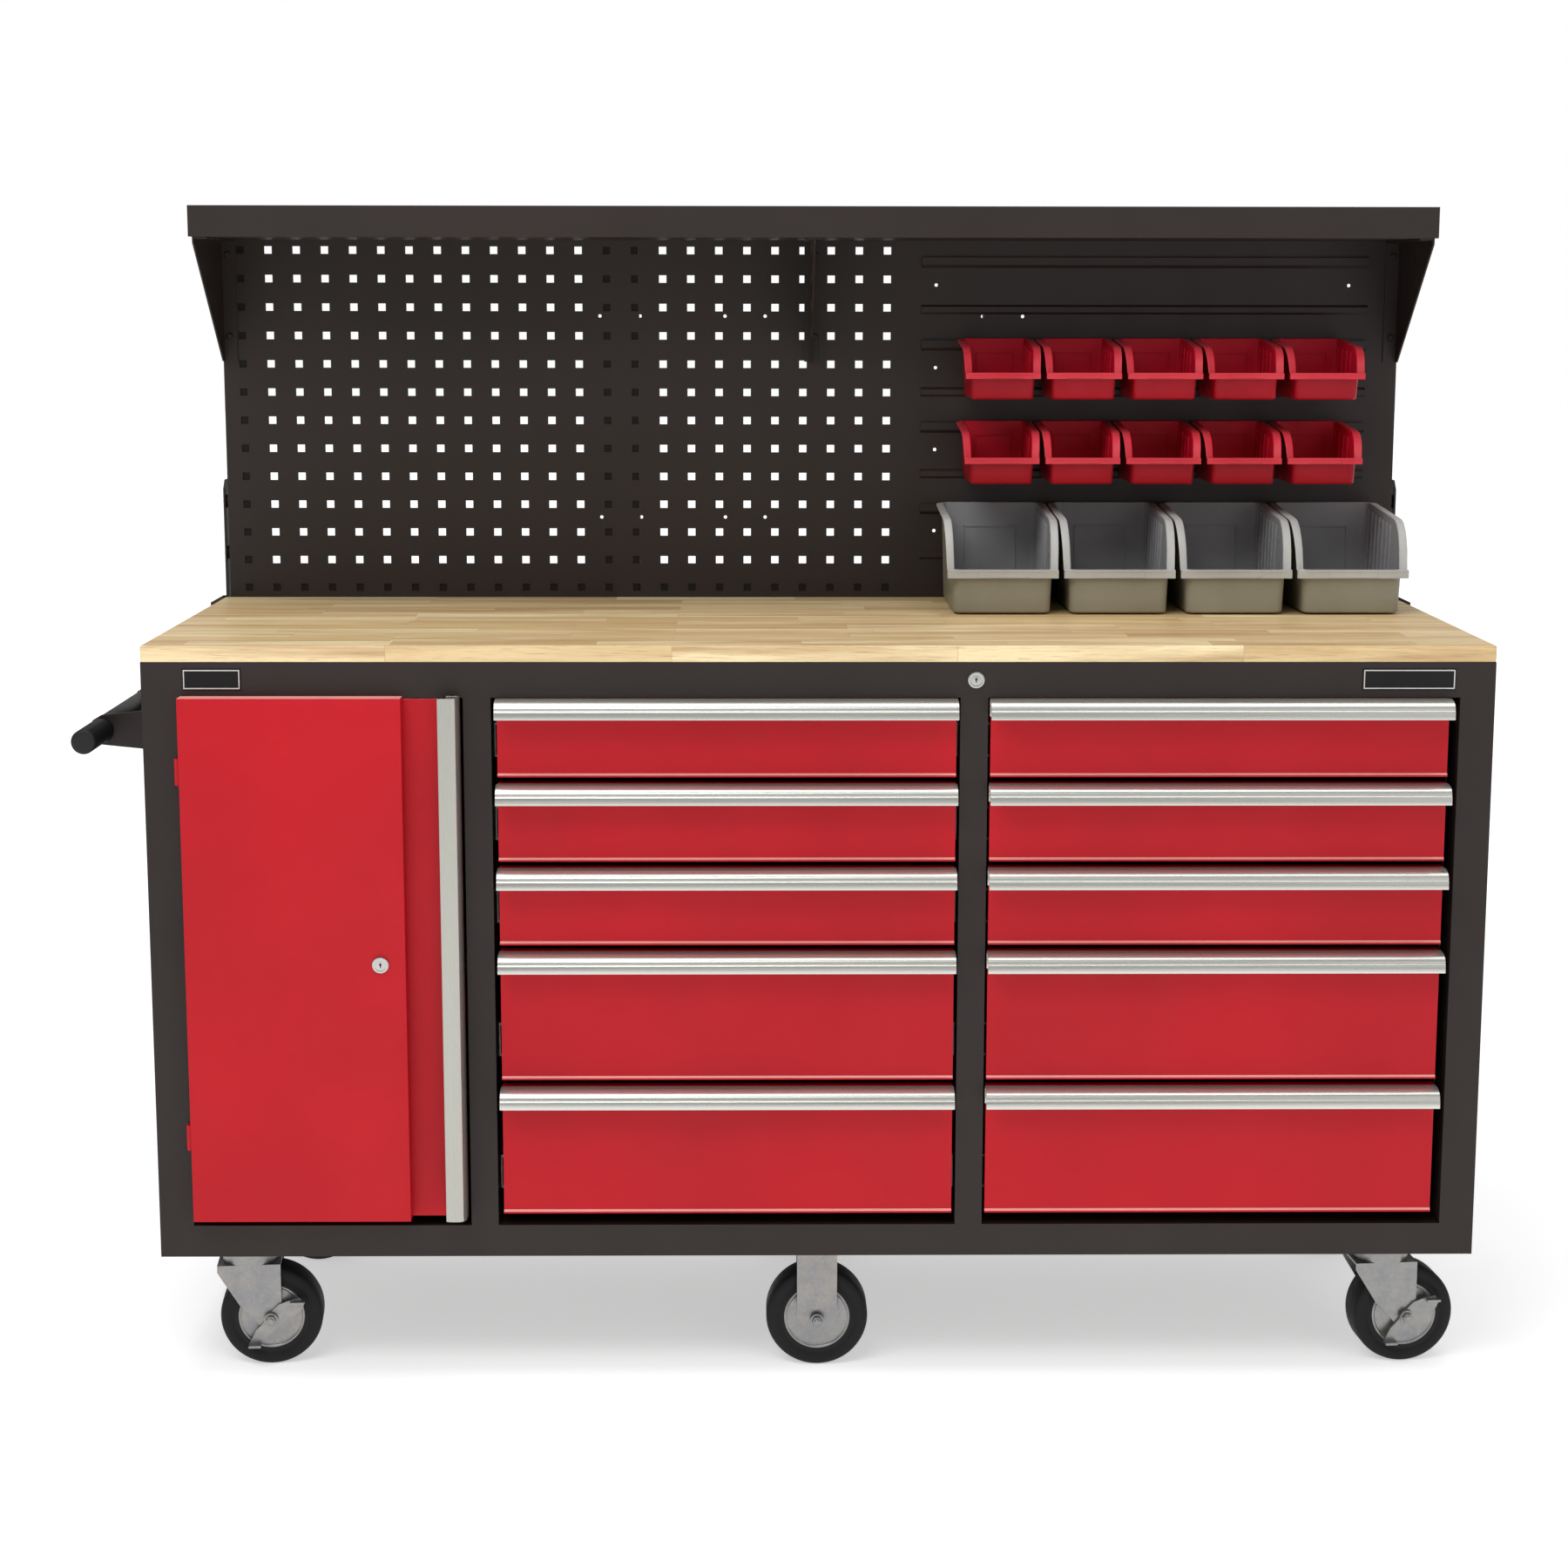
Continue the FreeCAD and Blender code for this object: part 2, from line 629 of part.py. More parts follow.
def wheel_body(name):
    """A rubber tyre on a pressed rim, lying flat with its axle along z and its middle at zero."""
    half = "wheel_width / 2"
    tyre = spin(name + "_tyre", [("rim_radius", f"-{half}"), ("wheel_radius - 7", f"-{half}"),
                                 ("wheel_radius - 3", f"-{half} + 1.2"), ("wheel_radius - 0.8", f"-{half} + 3.6"),
                                 ("wheel_radius", f"-{half} + 7"), ("wheel_radius", f"{half} - 7"),
                                 ("wheel_radius - 0.8", f"{half} - 3.6"), ("wheel_radius - 3", f"{half} - 1.2"),
                                 ("wheel_radius - 7", half), ("rim_radius", half)])
    bore = "axle_radius + running_gap"
    rim = spin(name + "_rim", [(bore, "-hub_width / 2"), ("hub_radius", "-hub_width / 2"),
                               ("hub_radius", f"-{half} + 0.4"), ("rim_radius - 3", f"-{half} + 0.4"),
                               ("rim_radius - 2", f"-{half} - 0.6"), ("rim_radius", f"-{half} - 0.6"),
                               ("rim_radius", f"{half} + 0.6"), ("rim_radius - 2", f"{half} + 0.6"),
                               ("rim_radius - 3", f"{half} - 0.4"), ("hub_radius", f"{half} - 0.4"),
                               ("hub_radius", "hub_width / 2"), (bore, "hub_width / 2")])
    return [tyre, rim]


def axle_bolt(name, middle):
    """The axle with its hexagon-sized heads, across the fork at a distance along x."""
    span = "(fork_gap + 2 * fork_wall)"
    shank = rod(name + "_shank", (middle, f"-{span} / 2 - 8", AXLE_LEVEL), "axle_radius", f"{span} + 16", "y")
    heads = [rod(f"{name}_head_{side}", (middle, spot, AXLE_LEVEL), "axle_radius + 2.5", "4", "y")
             for side, spot in (("a", f"-{span} / 2 - 8"), ("b", f"{span} / 2 + 4"))]
    return [shank] + heads


def fork_legs(name, points):
    """The two cheeks of a fork, either side of the wheel."""
    near = pad(name + "_near", "XZ_Plane", points, "fork_wall", ("0", "-fork_gap / 2", "0"))
    far = pad(name + "_far", "XZ_Plane", points, "fork_wall", ("0", "fork_gap / 2 + fork_wall", "0"))
    return [near, far]


SWIVEL_CHEEK = [("-crown_half", "crown_level"), ("-crown_half", "crown_level - 9"), ("-12", "80"), ("6", "62"),
                ("12", "54"), ("trail - 4", "48"), ("trail + 6", "48"), ("trail + 12", "56"), ("crown_half", "80"),
                ("crown_half", "crown_level")]
FIXED_CHEEK = [("-25", PLATE_UNDER), ("-25", "68"), ("-18", "54"), ("-7", "48"), ("7", "48"),
               ("18", "54"), ("25", "68"), ("25", PLATE_UNDER)]

# Each swivel caster's corner and the way its wheel trails at rest, in degrees.
SWIVELS = {"front_left": ("-swivel_x", "caster_inset", 5),
           "front_right": ("swivel_x", "caster_inset", 5),
           "rear_left": ("-swivel_x", CASTER_REAR, -12),
           "rear_right": ("swivel_x", CASTER_REAR, 15)}
FIXED = {"front_centre": ("0", "fixed_inset"), "rear_centre": ("0", FIXED_REAR)}


def build_casters():
    """Four swivel casters, two fixed ones and the plates that carry them."""
    on_edge = FreeCAD.Rotation(FreeCAD.Vector(1, 0, 0), 90)
    plates = []
    for corner, (x, y, angle) in SWIVELS.items():
        name = "caster_" + corner
        crown = box(name + "_crown", ("-crown_half", "-fork_gap / 2 - fork_wall", "crown_level - crown_thickness"),
                    ("2 * crown_half", "fork_gap + 2 * fork_wall", "crown_thickness"))
        housing = rod(name + "_housing", ("0", "0", "crown_level"), "housing_radius",
                      f"{PLATE_UNDER} - crown_level - 0.5")
        race = rod(name + "_race", ("0", "0", f"{PLATE_UNDER} - 9"), "housing_radius + 7", "4")
        socket = rod(name + "_socket", ("0", "0", "crown_level - 9"), "kingpin_radius + running_gap", "40")
        solid = fuse(name + "_solid", crown, housing, race, *fork_legs(name + "_cheek", SWIVEL_CHEEK),
                     *axle_bolt(name + "_axle", "trail"))
        publish("swivel_fork_" + corner, [cut(name + "_yoke", solid, socket)], (x, y, "0"), turn(angle))
        hub_x = f"{x} + trail * cos({angle}deg)"
        hub_y = f"{y} + trail * sin({angle}deg)"
        publish("wheel_" + corner, wheel_body(name + "_wheel"), (hub_x, hub_y, AXLE_LEVEL),
                turn(angle).multiply(on_edge))
        plate = box(name + "_plate", (f"{x} - plate_length / 2", f"{y} - plate_width / 2", PLATE_UNDER),
                    ("plate_length", "plate_width", "plate_thickness"))
        kingpin = rod(name + "_kingpin", (x, y, "crown_level + 1"), "kingpin_radius",
                      f"{PLATE_UNDER} - crown_level")
        plates.append(cut(name + "_plate_drilled", fuse(name + "_mount", plate, kingpin),
                          *plate_holes(name, x, y)))
    publish("caster_top_plates", plates)

    forks = []
    for spot, (x, y) in FIXED.items():
        name = "caster_" + spot
        crown = box(name + "_crown", ("-plate_length / 2", "-plate_width / 2", PLATE_UNDER),
                    ("plate_length", "plate_width", "plate_thickness"))
        fork = fuse(name + "_fork", cut(name + "_plate_drilled", crown, *plate_holes(name, "0", "0")),
                    *fork_legs(name + "_cheek", FIXED_CHEEK), *axle_bolt(name + "_axle", "0"))
        forks.append(move(fork, (x, y, "0")))
        publish("wheel_" + spot, wheel_body(name + "_wheel"), (x, y, AXLE_LEVEL), on_edge)
    publish("fixed_caster_forks", forks)


def plate_corners(x, y):
    """The four bolt centres of a caster plate."""
    return [(f"{x} + {sx} * (plate_length / 2 - 12)", f"{y} + {sy} * (plate_width / 2 - 12)")
            for sx in (-1, 1) for sy in (-1, 1)]


def plate_holes(name, x, y):
    """Clearance holes for a caster plate's bolts."""
    return [rod(f"{name}_hole_{index}", (hole_x, hole_y, f"{PLATE_UNDER} - 1"), "bolt_radius + 0.25",
                "plate_thickness + 2")
            for index, (hole_x, hole_y) in enumerate(plate_corners(x, y))]


# A pressed lever that lies across the hub, with a turned-out tread at each end.
PEDAL = [("-27", "-31"), ("-20", "-36"), ("-8", "-26"), ("14", "-8"), ("38", "10"), ("42", "20"), ("36", "26"),
         ("20", "22"), ("9", "18"), ("-4", "5"), ("-10", "-5"), ("-20", "-16")]


def build_pedals():
    """The brake levers of the two front swivel casters, hung on the ends of their axles."""
    for corner in ("front_left", "front_right"):
        x, y, angle = SWIVELS[corner]
        name = "brake_" + corner
        face = "-fork_gap / 2 - fork_wall - 0.4"
        lever = pad(name + "_lever", "XZ_Plane", PEDAL, "3", ("0", face, "0"))
        treads = [box(name + "_low_tread", ("-28", f"{face} - 14", "-34"), ("15", "14", "3")),
                  box(name + "_high_tread", ("24", f"{face} - 12", "20"), ("17", "12", "3"))]
        eye = rod(name + "_eye", ("0", f"{face} - 4", "0"), "axle_radius + running_gap", "6", "y")
        publish("brake_pedal_" + corner,
                [cut(name + "_drilled", fuse(name + "_solid", lever, *treads), eye)],
                (f"{x} + trail * cos({angle}deg)", f"{y} + trail * sin({angle}deg)", AXLE_LEVEL), turn(angle))


# ---------------------------------------------------------------- push handle

def build_push_handle():
    """A capped tube along the left side, held by two clamping brackets."""
    x = f"(-{HALF_WIDTH} - handle_reach)"
    length = "(cabinet_depth - 2 * handle_inset)"
    outer = rod("grip_outer", (x, "handle_inset", "handle_level"), "handle_radius", length, "y")
    inner = rod("grip_bore", (x, "handle_inset - 1", "handle_level"), "handle_radius - handle_wall",
                f"{length} + 2", "y")
    caps = [rod(f"grip_cap_{side}", (x, spot, "handle_level"), "handle_radius", "4", "y")
            for side, spot in (("front", "handle_inset - 4"), ("rear", "cabinet_depth - handle_inset"))]
    publish("push_handle_bar", [cut("grip_tube", outer, inner)] + caps)

    wing = [("0", "-27"), ("0", "27"), ("-handle_reach", "handle_radius + 3.5"),
            ("-handle_reach - handle_radius + 4", "12"), ("-handle_reach - handle_radius + 4", "-12"),
            ("-handle_reach", "-handle_radius - 3.5")]
    brackets = []
    for side, y in (("front", "handle_bracket_inset"), ("rear", "(cabinet_depth - handle_bracket_inset)")):
        plate = pad(f"handle_wing_{side}", "XZ_Plane", wing, "handle_bracket",
                    (f"-{HALF_WIDTH}", f"{y} + handle_bracket / 2", "handle_level"))
        foot = box(f"handle_foot_{side}", (f"-{HALF_WIDTH} - handle_foot", f"{y} - 28", "handle_level - 33"),
                   ("handle_foot", "56", "66"))
        seat = rod(f"handle_seat_{side}", (x, f"{y} - 30", "handle_level"), "handle_radius", "60", "y")
        brackets.append(cut(f"handle_bracket_{side}", fuse(f"handle_arm_{side}", plate, foot), seat))
    publish("push_handle_brackets", brackets)


# ---------------------------------------------------------------- backboard

PEG_COLUMNS = 24
PEG_ROWS = 13
ROUND_HOLE = 2.3
# Fixing holes stand in pairs beside the inner posts and beside one column of pegs.
PAIR_MIDDLES = (-259.5, -90, 259.5)
PAIR_HALF = 27.2
PAIR_RISES = (110, 382)
# One more fixing hole closes each end of every pair of hook rails.
RAIL_HOLES = (169, 729)
RAIL_HOLE_RISE = 91.5
# The sheet is cut into fields after these columns and rows of peg holes.
FIELD_COLUMNS = (8, 16, PEG_COLUMNS)
FIELD_ROWS = (3, 6, 9)
HOOK_RAILS = 4


def build_back_panel():
    """One sheet with square peg holes, round fixing holes and pressed hook rails for the bins.

    The hole grid is too dense for sketches, so this sheet is made directly from the cells.
    """
    left = number("-board_width / 2")
    low = number(WORKTOP_UNDER)
    high = number(SHELF_UNDER)
    front = number(BOARD_FRONT)
    base = number("worktop_level")
    pitch = number("peg_pitch")
    hole = number("peg_hole")

    def loop(x, z, width, height):
        corners = [(x, z), (x + width, z), (x + width, z + height), (x, z + height), (x, z)]
        return Part.makePolygon([FreeCAD.Vector(u, front, v) for u, v in corners])

    first = number("first_peg_x")
    pegs = [(first + pitch * column, base + number("first_peg_rise") + pitch * row)
            for column in range(PEG_COLUMNS) for row in range(PEG_ROWS)]
    rounds = [(middle + side * PAIR_HALF, base + rise) for middle in PAIR_MIDDLES for side in (-1, 1)
              for rise in PAIR_RISES]
    rounds += [(x, base + RAIL_HOLE_RISE + number("louvre_pitch") * row)
               for x in RAIL_HOLES for row in range(HOOK_RAILS)]

    # The sheet is laid out in fields that meet between the holes, because one face can't carry them all.
    columns = [left] + [first + pitch * (place - 0.5) for place in FIELD_COLUMNS]
    columns += [number("louvre_left"), number("louvre_left + louvre_length"), -left]
    lowest = base + number("first_peg_rise")
    bands = [low] + [lowest + pitch * (place + 0.5) for place in FIELD_ROWS] + [high]
    fields = []
    for start, end in zip(columns, columns[1:]):
        for under, over in zip(bands, bands[1:]):
            wires = [loop(start, under, end - start, over - under)]
            wires += [loop(x - hole / 2, z - hole / 2, hole, hole)
                      for x, z in pegs if start < x < end and under < z < over]
            wires += [Part.Wire(Part.makeCircle(ROUND_HOLE, FreeCAD.Vector(x, front, z), FreeCAD.Vector(0, 1, 0)))
                      for x, z in rounds if start < x < end and under < z < over]
            face = Part.makeFace(wires, "Part::FaceMakerBullseye")
            fields.append(face.extrude(FreeCAD.Vector(0, number("sheet_steel"), 0)))
    plate = fields[0].fuse(fields[1:])

    reach = number("louvre_reach")
    wall = number("louvre_wall")
    height = number("louvre_height")
    bead = number("bead_reach")
    bead_height = number("bead_height")
    strips = []
    for row in range(HOOK_RAILS):
        top = base + number(f"first_louvre_rise + {row} * louvre_pitch")
        hook = [(0, -height), (-reach, 4 - height), (-reach, 0), (wall - reach, 0), (wall - reach, 5 - height),
                (0, 3 - height)]
        rib_top = top - number("bead_drop")
        rib = [(0, 0), (-bead, -3), (-bead, 3 - bead_height), (0, -bead_height)]
        for section, level in ((hook, top), (rib, rib_top)):
            points = [FreeCAD.Vector(number("louvre_left"), front + y, level + z) for y, z in section]
            face = Part.Face(Part.makePolygon(points + points[:1]))
            strips.append(face.extrude(FreeCAD.Vector(number("louvre_length"), 0, 0)))
    feature = document.addObject("Part::Feature", "perforated_sheet")
    feature.Shape = plate.fuse(strips)
    publish("back_panel", [feature])


def build_posts():
    """Four hollow posts behind the sheet, the low rail between them and the side plates that tie them down."""
    height = f"({SHELF_UNDER} - worktop_level + post_drop)"
    low = "(worktop_level - post_drop)"
    spots = {"outer_left": "-outer_post_x", "inner_left": "-inner_post_x",
             "inner_right": "inner_post_x", "outer_right": "outer_post_x"}
    parts = [tube("post_" + name, (f"{x} - post_width / 2", POST_FRONT, low),
                  ("post_width", "post_depth", height), "z", "post_wall")
             for name, x in spots.items()]
    ends = list(spots.values())
    for index in range(3):
        start = f"({ends[index]} + post_width / 2)"
        length = f"({ends[index + 1]} - post_width / 2 - {start})"
        parts.append(tube(f"rear_rail_{index}", (start, POST_FRONT, WORKTOP_UNDER),
                          (length, "rear_rail_depth", "rear_rail_height + worktop_thickness"), "x", "post_wall"))
    publish("backboard_posts", parts)

    arm = pad("side_arm", "YZ_Plane",
              [("0", "-side_foot_drop"), ("0", "side_arm_height - 12"), ("12", "side_arm_height"),
               ("post_depth", "side_arm_height"), ("post_depth", "-side_foot_drop")],
              "side_plate", ("side_arm_x", POST_FRONT, "worktop_level"))
    foot = pad("side_foot", "YZ_Plane",
               [("2.5", "-side_foot_drop"), ("2.5", "2"), ("-side_foot_reach", "2"),
                ("-side_foot_reach", "-34"), ("-26", "-side_foot_drop")],
               "side_plate", (HALF_WIDTH, POST_FRONT, "worktop_level"))
    step = box("side_step", ("side_arm_x", f"{POST_FRONT} + 0.01", "worktop_level - side_foot_drop"),
               (f"{HALF_WIDTH} - side_arm_x + side_plate", "2.49", "side_foot_drop + 2"))
    post_face = "(outer_post_x + post_width / 2)"
    spacers = [rod(f"side_spacer_{index}", (post_face, f"{POST_FRONT} + {y}", f"worktop_level + {z}"),
                   "side_spacer_radius", f"side_arm_x - {post_face}", "x")
               for index, (y, z) in enumerate(SIDE_ARM_SCREWS)]
    right = cut("side_bracket", fuse("side_bracket_solid", arm, foot, step, *spacers), *side_screw_holes())
    publish("backboard_brackets", [mirror("side_bracket_left", right), right])


SIDE_ARM_SCREWS = [("18", "60"), ("18", "130")]
SIDE_FOOT_SCREWS = [("-74", "-16"), ("-30", "-16")]


def side_screw_holes():
    """Holes for the side plates' screws."""
    holes = []
    for index, (y, z) in enumerate(SIDE_ARM_SCREWS + SIDE_FOOT_SCREWS):
        holes.append(rod(f"side_hole_{index}", ("side_arm_x - 1", f"{POST_FRONT} + {y}", f"worktop_level + {z}"),
                         "screw_radius + 0.2", "12", "x"))
    return holes


def build_overhead_shelf():
    """A shallow folded tray on three triangular brackets."""
    half = "shelf_width / 2"
    front = f"({BOARD_FRONT} - shelf_reach)"
    depth = f"({POST_BACK} - {front})"
    outer = box("shelf_outer", (f"-{half}", front, SHELF_UNDER), ("shelf_width", depth, "shelf_lip"))
    inner = box("shelf_inner", (f"-{half} + sheet_steel", f"{front} + sheet_steel", f"{SHELF_UNDER} + sheet_steel"),
                ("shelf_width - 2 * sheet_steel", f"{depth} - 2 * sheet_steel", "shelf_lip"))
    publish("overhead_shelf", [cut("shelf_tray", outer, inner)])

    web = [("0", "0"), ("-bracket_reach", "0"), ("-bracket_reach", "-8"), ("-bracket_flange / 2", "-bracket_height"),
           ("0", "-bracket_height")]
    brackets = []
    for name, low, flange in (("left", "-bracket_outer", "-bracket_outer"),
                              ("middle", "-bracket_plate / 2", "-bracket_flange / 2"),
                              ("right", "bracket_outer - bracket_plate", "bracket_outer - bracket_flange")):
        plate = pad(f"shelf_web_{name}", "YZ_Plane", web, "bracket_plate", (low, BOARD_FRONT, SHELF_UNDER))
        strip = box(f"shelf_flange_{name}",
                    (flange, f"{BOARD_FRONT} - bracket_plate", f"{SHELF_UNDER} - bracket_height"),
                    ("bracket_flange", "bracket_plate", "bracket_height"))
        seat = box(f"shelf_seat_{name}",
                   (flange, f"{BOARD_FRONT} - bracket_reach", f"{SHELF_UNDER} - bracket_plate"),
                   ("bracket_flange", "bracket_reach", "bracket_plate"))
        brackets.append(fuse(f"shelf_bracket_{name}", plate, strip, seat))
    publish("shelf_brackets", brackets)


# ---------------------------------------------------------------- bins

def build_bin(name, kind, x, hook_level):
    """A tapered open-fronted bin with a turned-out rim and a hook along its back."""
    wide, depth, tall, floor, shoulder, rise, lip = (
        f"{kind}_bin_{word}" for word in
        ("width", "depth", "height", "floor", "shoulder", "shoulder_rise", "lip"))
    upright = FreeCAD.Placement(FreeCAD.Vector(), FreeCAD.Rotation(FreeCAD.Vector(1, 0, 0), 90))

    def frustum(part, inset, foot):
        """A block that widens upwards, from its rear face forwards."""
        block = document.addObject("Part::Wedge", part)
        bind(block, Xmin=f"-{floor} / 2 + {inset}", Xmax=f"{floor} / 2 - {inset}", Ymin=foot, Ymax=f"{tall} + 0.5",
             Zmin=inset, Zmax=f"{depth} - 10 - {inset}", X2min=f"-{wide} / 2 + bin_rim + {inset}",
             X2max=f"{wide} / 2 - bin_rim - {inset}", Z2min=inset, Z2max=f"{depth} - {inset}")
        block.Placement = upright
        return block

    outer = frustum(name + "_outer", "0", "0")
    inner = frustum(name + "_inner", "bin_wall", "bin_wall")
    side = pad(name + "_side", "YZ_Plane",
               [("0", "0"), ("0", tall), (f"-{shoulder}", rise), (f"-{depth} - 4", f"{lip} - 3"),
                (f"-{depth} - 4", "0")], f"{wide} + 4", (f"-{wide} / 2 - 2", "0", "0"))
    rim = pad(name + "_rim", "YZ_Plane",
              [("0", tall), (f"-{shoulder}", rise), (f"-{depth}", lip), (f"-{depth}", f"{lip} - 11"),
               (f"-{depth} + 9", f"{lip} - 11"), (f"-{depth} + 9", lip), (f"-{shoulder} + 2", f"{rise} - 3"),
               ("0", f"{tall} - 3")], wide, (f"-{wide} / 2", "0", "0"))
    reach = "bin_standoff - 0.5"
    bridge = box(name + "_bridge", ("-bin_hook_width / 2", "-1", f"{tall} - bin_hook"),
                 ("bin_hook_width", f"{reach} + 1", "bin_hook"))
    hook = box(name + "_hook", ("-bin_hook_width / 2", f"{reach} - bin_hook", f"{tall} - 10"),
               ("bin_hook_width", "bin_hook", "10"))
    shell = cut(name + "_shell", fuse(name + "_solid", common(name + "_wall", outer, side), rim), inner)
    level = f"worktop_level + {hook_level} + 0.4 + bin_hook - {tall}"
    publish(name, [fuse(name + "_body", shell, bridge, hook)], (x, f"{BOARD_FRONT} - bin_standoff", level))


def build_bins():
    """Two rows of five small bins over one row of four large ones."""
    for row, louvre in (("upper", 2), ("lower", 1)):
        for place in range(5):
            build_bin(f"red_bin_{row}_{place + 1}", "small", f"small_bin_x + {place - 2} * small_bin_pitch",
                      f"first_louvre_rise + {louvre} * louvre_pitch")
    for place in range(4):
        build_bin(f"grey_bin_{place + 1}", "large", f"large_bin_x + {place - 1.5} * large_bin_pitch",
                  "first_louvre_rise")


# ---------------------------------------------------------------- small parts

def bolt(name, foot, along, out, length, kind="bolt"):
    """A screw whose head sits on a face and whose shank goes back through the sheet."""
    axis = "xyz".index(along)
    head_foot = list(foot)
    shank_foot = list(foot)
    if out < 0:
        head_foot[axis] = f"{foot[axis]} - {kind}_head"
    else:
        shank_foot[axis] = f"{foot[axis]} - {length}"
    head = rod(name + "_head", head_foot, f"{kind}_head_radius", f"{kind}_head", along)
    shank = rod(name + "_shank", shank_foot, f"{kind}_radius", length, along)
    return fuse(name, head, shank)


def build_fasteners():
    """The caster plates' bolts and the side plates' screws."""
    screws = []
    casters = [(x, y) for x, y, _ in SWIVELS.values()] + list(FIXED.values())
    for index, (x, y) in enumerate(casters):
        for corner, (hole_x, hole_y) in enumerate(plate_corners(x, y)):
            screws.append(bolt(f"caster_bolt_{index}_{corner}", (hole_x, hole_y, PLATE_UNDER), "z", -1,
                               "plate_thickness"))
    for index, (y, z) in enumerate(SIDE_ARM_SCREWS + SIDE_FOOT_SCREWS):
        face = "side_arm_x" if index < len(SIDE_ARM_SCREWS) else HALF_WIDTH
        screw = bolt(f"side_screw_{index}", (f"{face} + side_plate", f"{POST_FRONT} + {y}", f"worktop_level + {z}"),
                     "x", 1, "side_plate", "screw")
        screws += [screw, mirror(f"side_screw_left_{index}", screw)]
    publish("fasteners", screws)


def build_badges():
    """Two blank plates on the top rail."""
    plates = []
    for name, x, width in (("small", "small_badge_x", "small_badge_width"),
                           ("wide", "wide_badge_x", "wide_badge_width")):
        plates.append(box(name + "_badge", (f"{x} - {width} / 2", "-badge_thickness", "badge_z - badge_height / 2"),
                          (width, "badge_thickness", "badge_height")))
    publish("badge_plates", plates)


build_front_frame()
build_shell()
build_worktop()
build_runners()
for each in DRAWERS:
    build_drawer(each)
build_door()
build_lock("door_lock", "-panel_reach", "door_lock_x", "door_lock_z", "(panel_reach + door_pan + 2)")
build_lock("main_lock", "0", "main_lock_x", "main_lock_z", "(frame_depth + 3)")
build_casters()
build_pedals()
build_push_handle()
build_back_panel()
build_posts()
build_overhead_shelf()
build_bins()
build_fasteners()
build_badges()

document.removeObject("probe")
document.recompute()

faults = [item.Name for item in document.Objects if "Invalid" in item.State or "Error" in item.State]
for label, node in nodes.items():
    if node.Shape.isNull() or not node.Shape.isValid() or not node.Shape.Solids:
        faults.append(label)
if faults:
    raise RuntimeError("not sound: " + ", ".join(faults))

os.makedirs("parts", exist_ok=True)
for label, node in nodes.items():
    node.Shape.exportStep(f"parts/{label}.step")
print(len(nodes), "sub-parts written")
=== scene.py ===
import json
import math
import bmesh
import bpy
from mathutils import Matrix, Vector


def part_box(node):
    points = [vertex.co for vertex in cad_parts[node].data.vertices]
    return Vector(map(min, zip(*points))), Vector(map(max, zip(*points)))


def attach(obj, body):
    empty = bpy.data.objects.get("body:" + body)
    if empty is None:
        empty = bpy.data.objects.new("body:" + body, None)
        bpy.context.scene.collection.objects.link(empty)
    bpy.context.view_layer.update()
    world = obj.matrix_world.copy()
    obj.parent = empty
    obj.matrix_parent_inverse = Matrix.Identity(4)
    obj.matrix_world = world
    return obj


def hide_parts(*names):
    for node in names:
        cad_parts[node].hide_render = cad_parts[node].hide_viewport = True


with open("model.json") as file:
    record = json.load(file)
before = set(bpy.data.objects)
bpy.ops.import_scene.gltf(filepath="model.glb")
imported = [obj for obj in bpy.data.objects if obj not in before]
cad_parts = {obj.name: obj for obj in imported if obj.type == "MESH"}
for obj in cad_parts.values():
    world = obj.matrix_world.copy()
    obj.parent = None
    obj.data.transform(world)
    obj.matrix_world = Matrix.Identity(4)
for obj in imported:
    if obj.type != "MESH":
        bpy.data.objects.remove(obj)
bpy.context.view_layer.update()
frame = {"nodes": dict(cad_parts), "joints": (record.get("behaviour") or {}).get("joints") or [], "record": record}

MM = 0.001
NODES = frame["nodes"]
BODIES = frame["record"]["behaviour"]["bodies"]
BODY_OF = {node: body for body, members in BODIES.items() for node in members}
SWIVEL_CORNERS = ("front_left", "front_right", "rear_left", "rear_right")


# ---------------------------------------------------------------- shader helpers

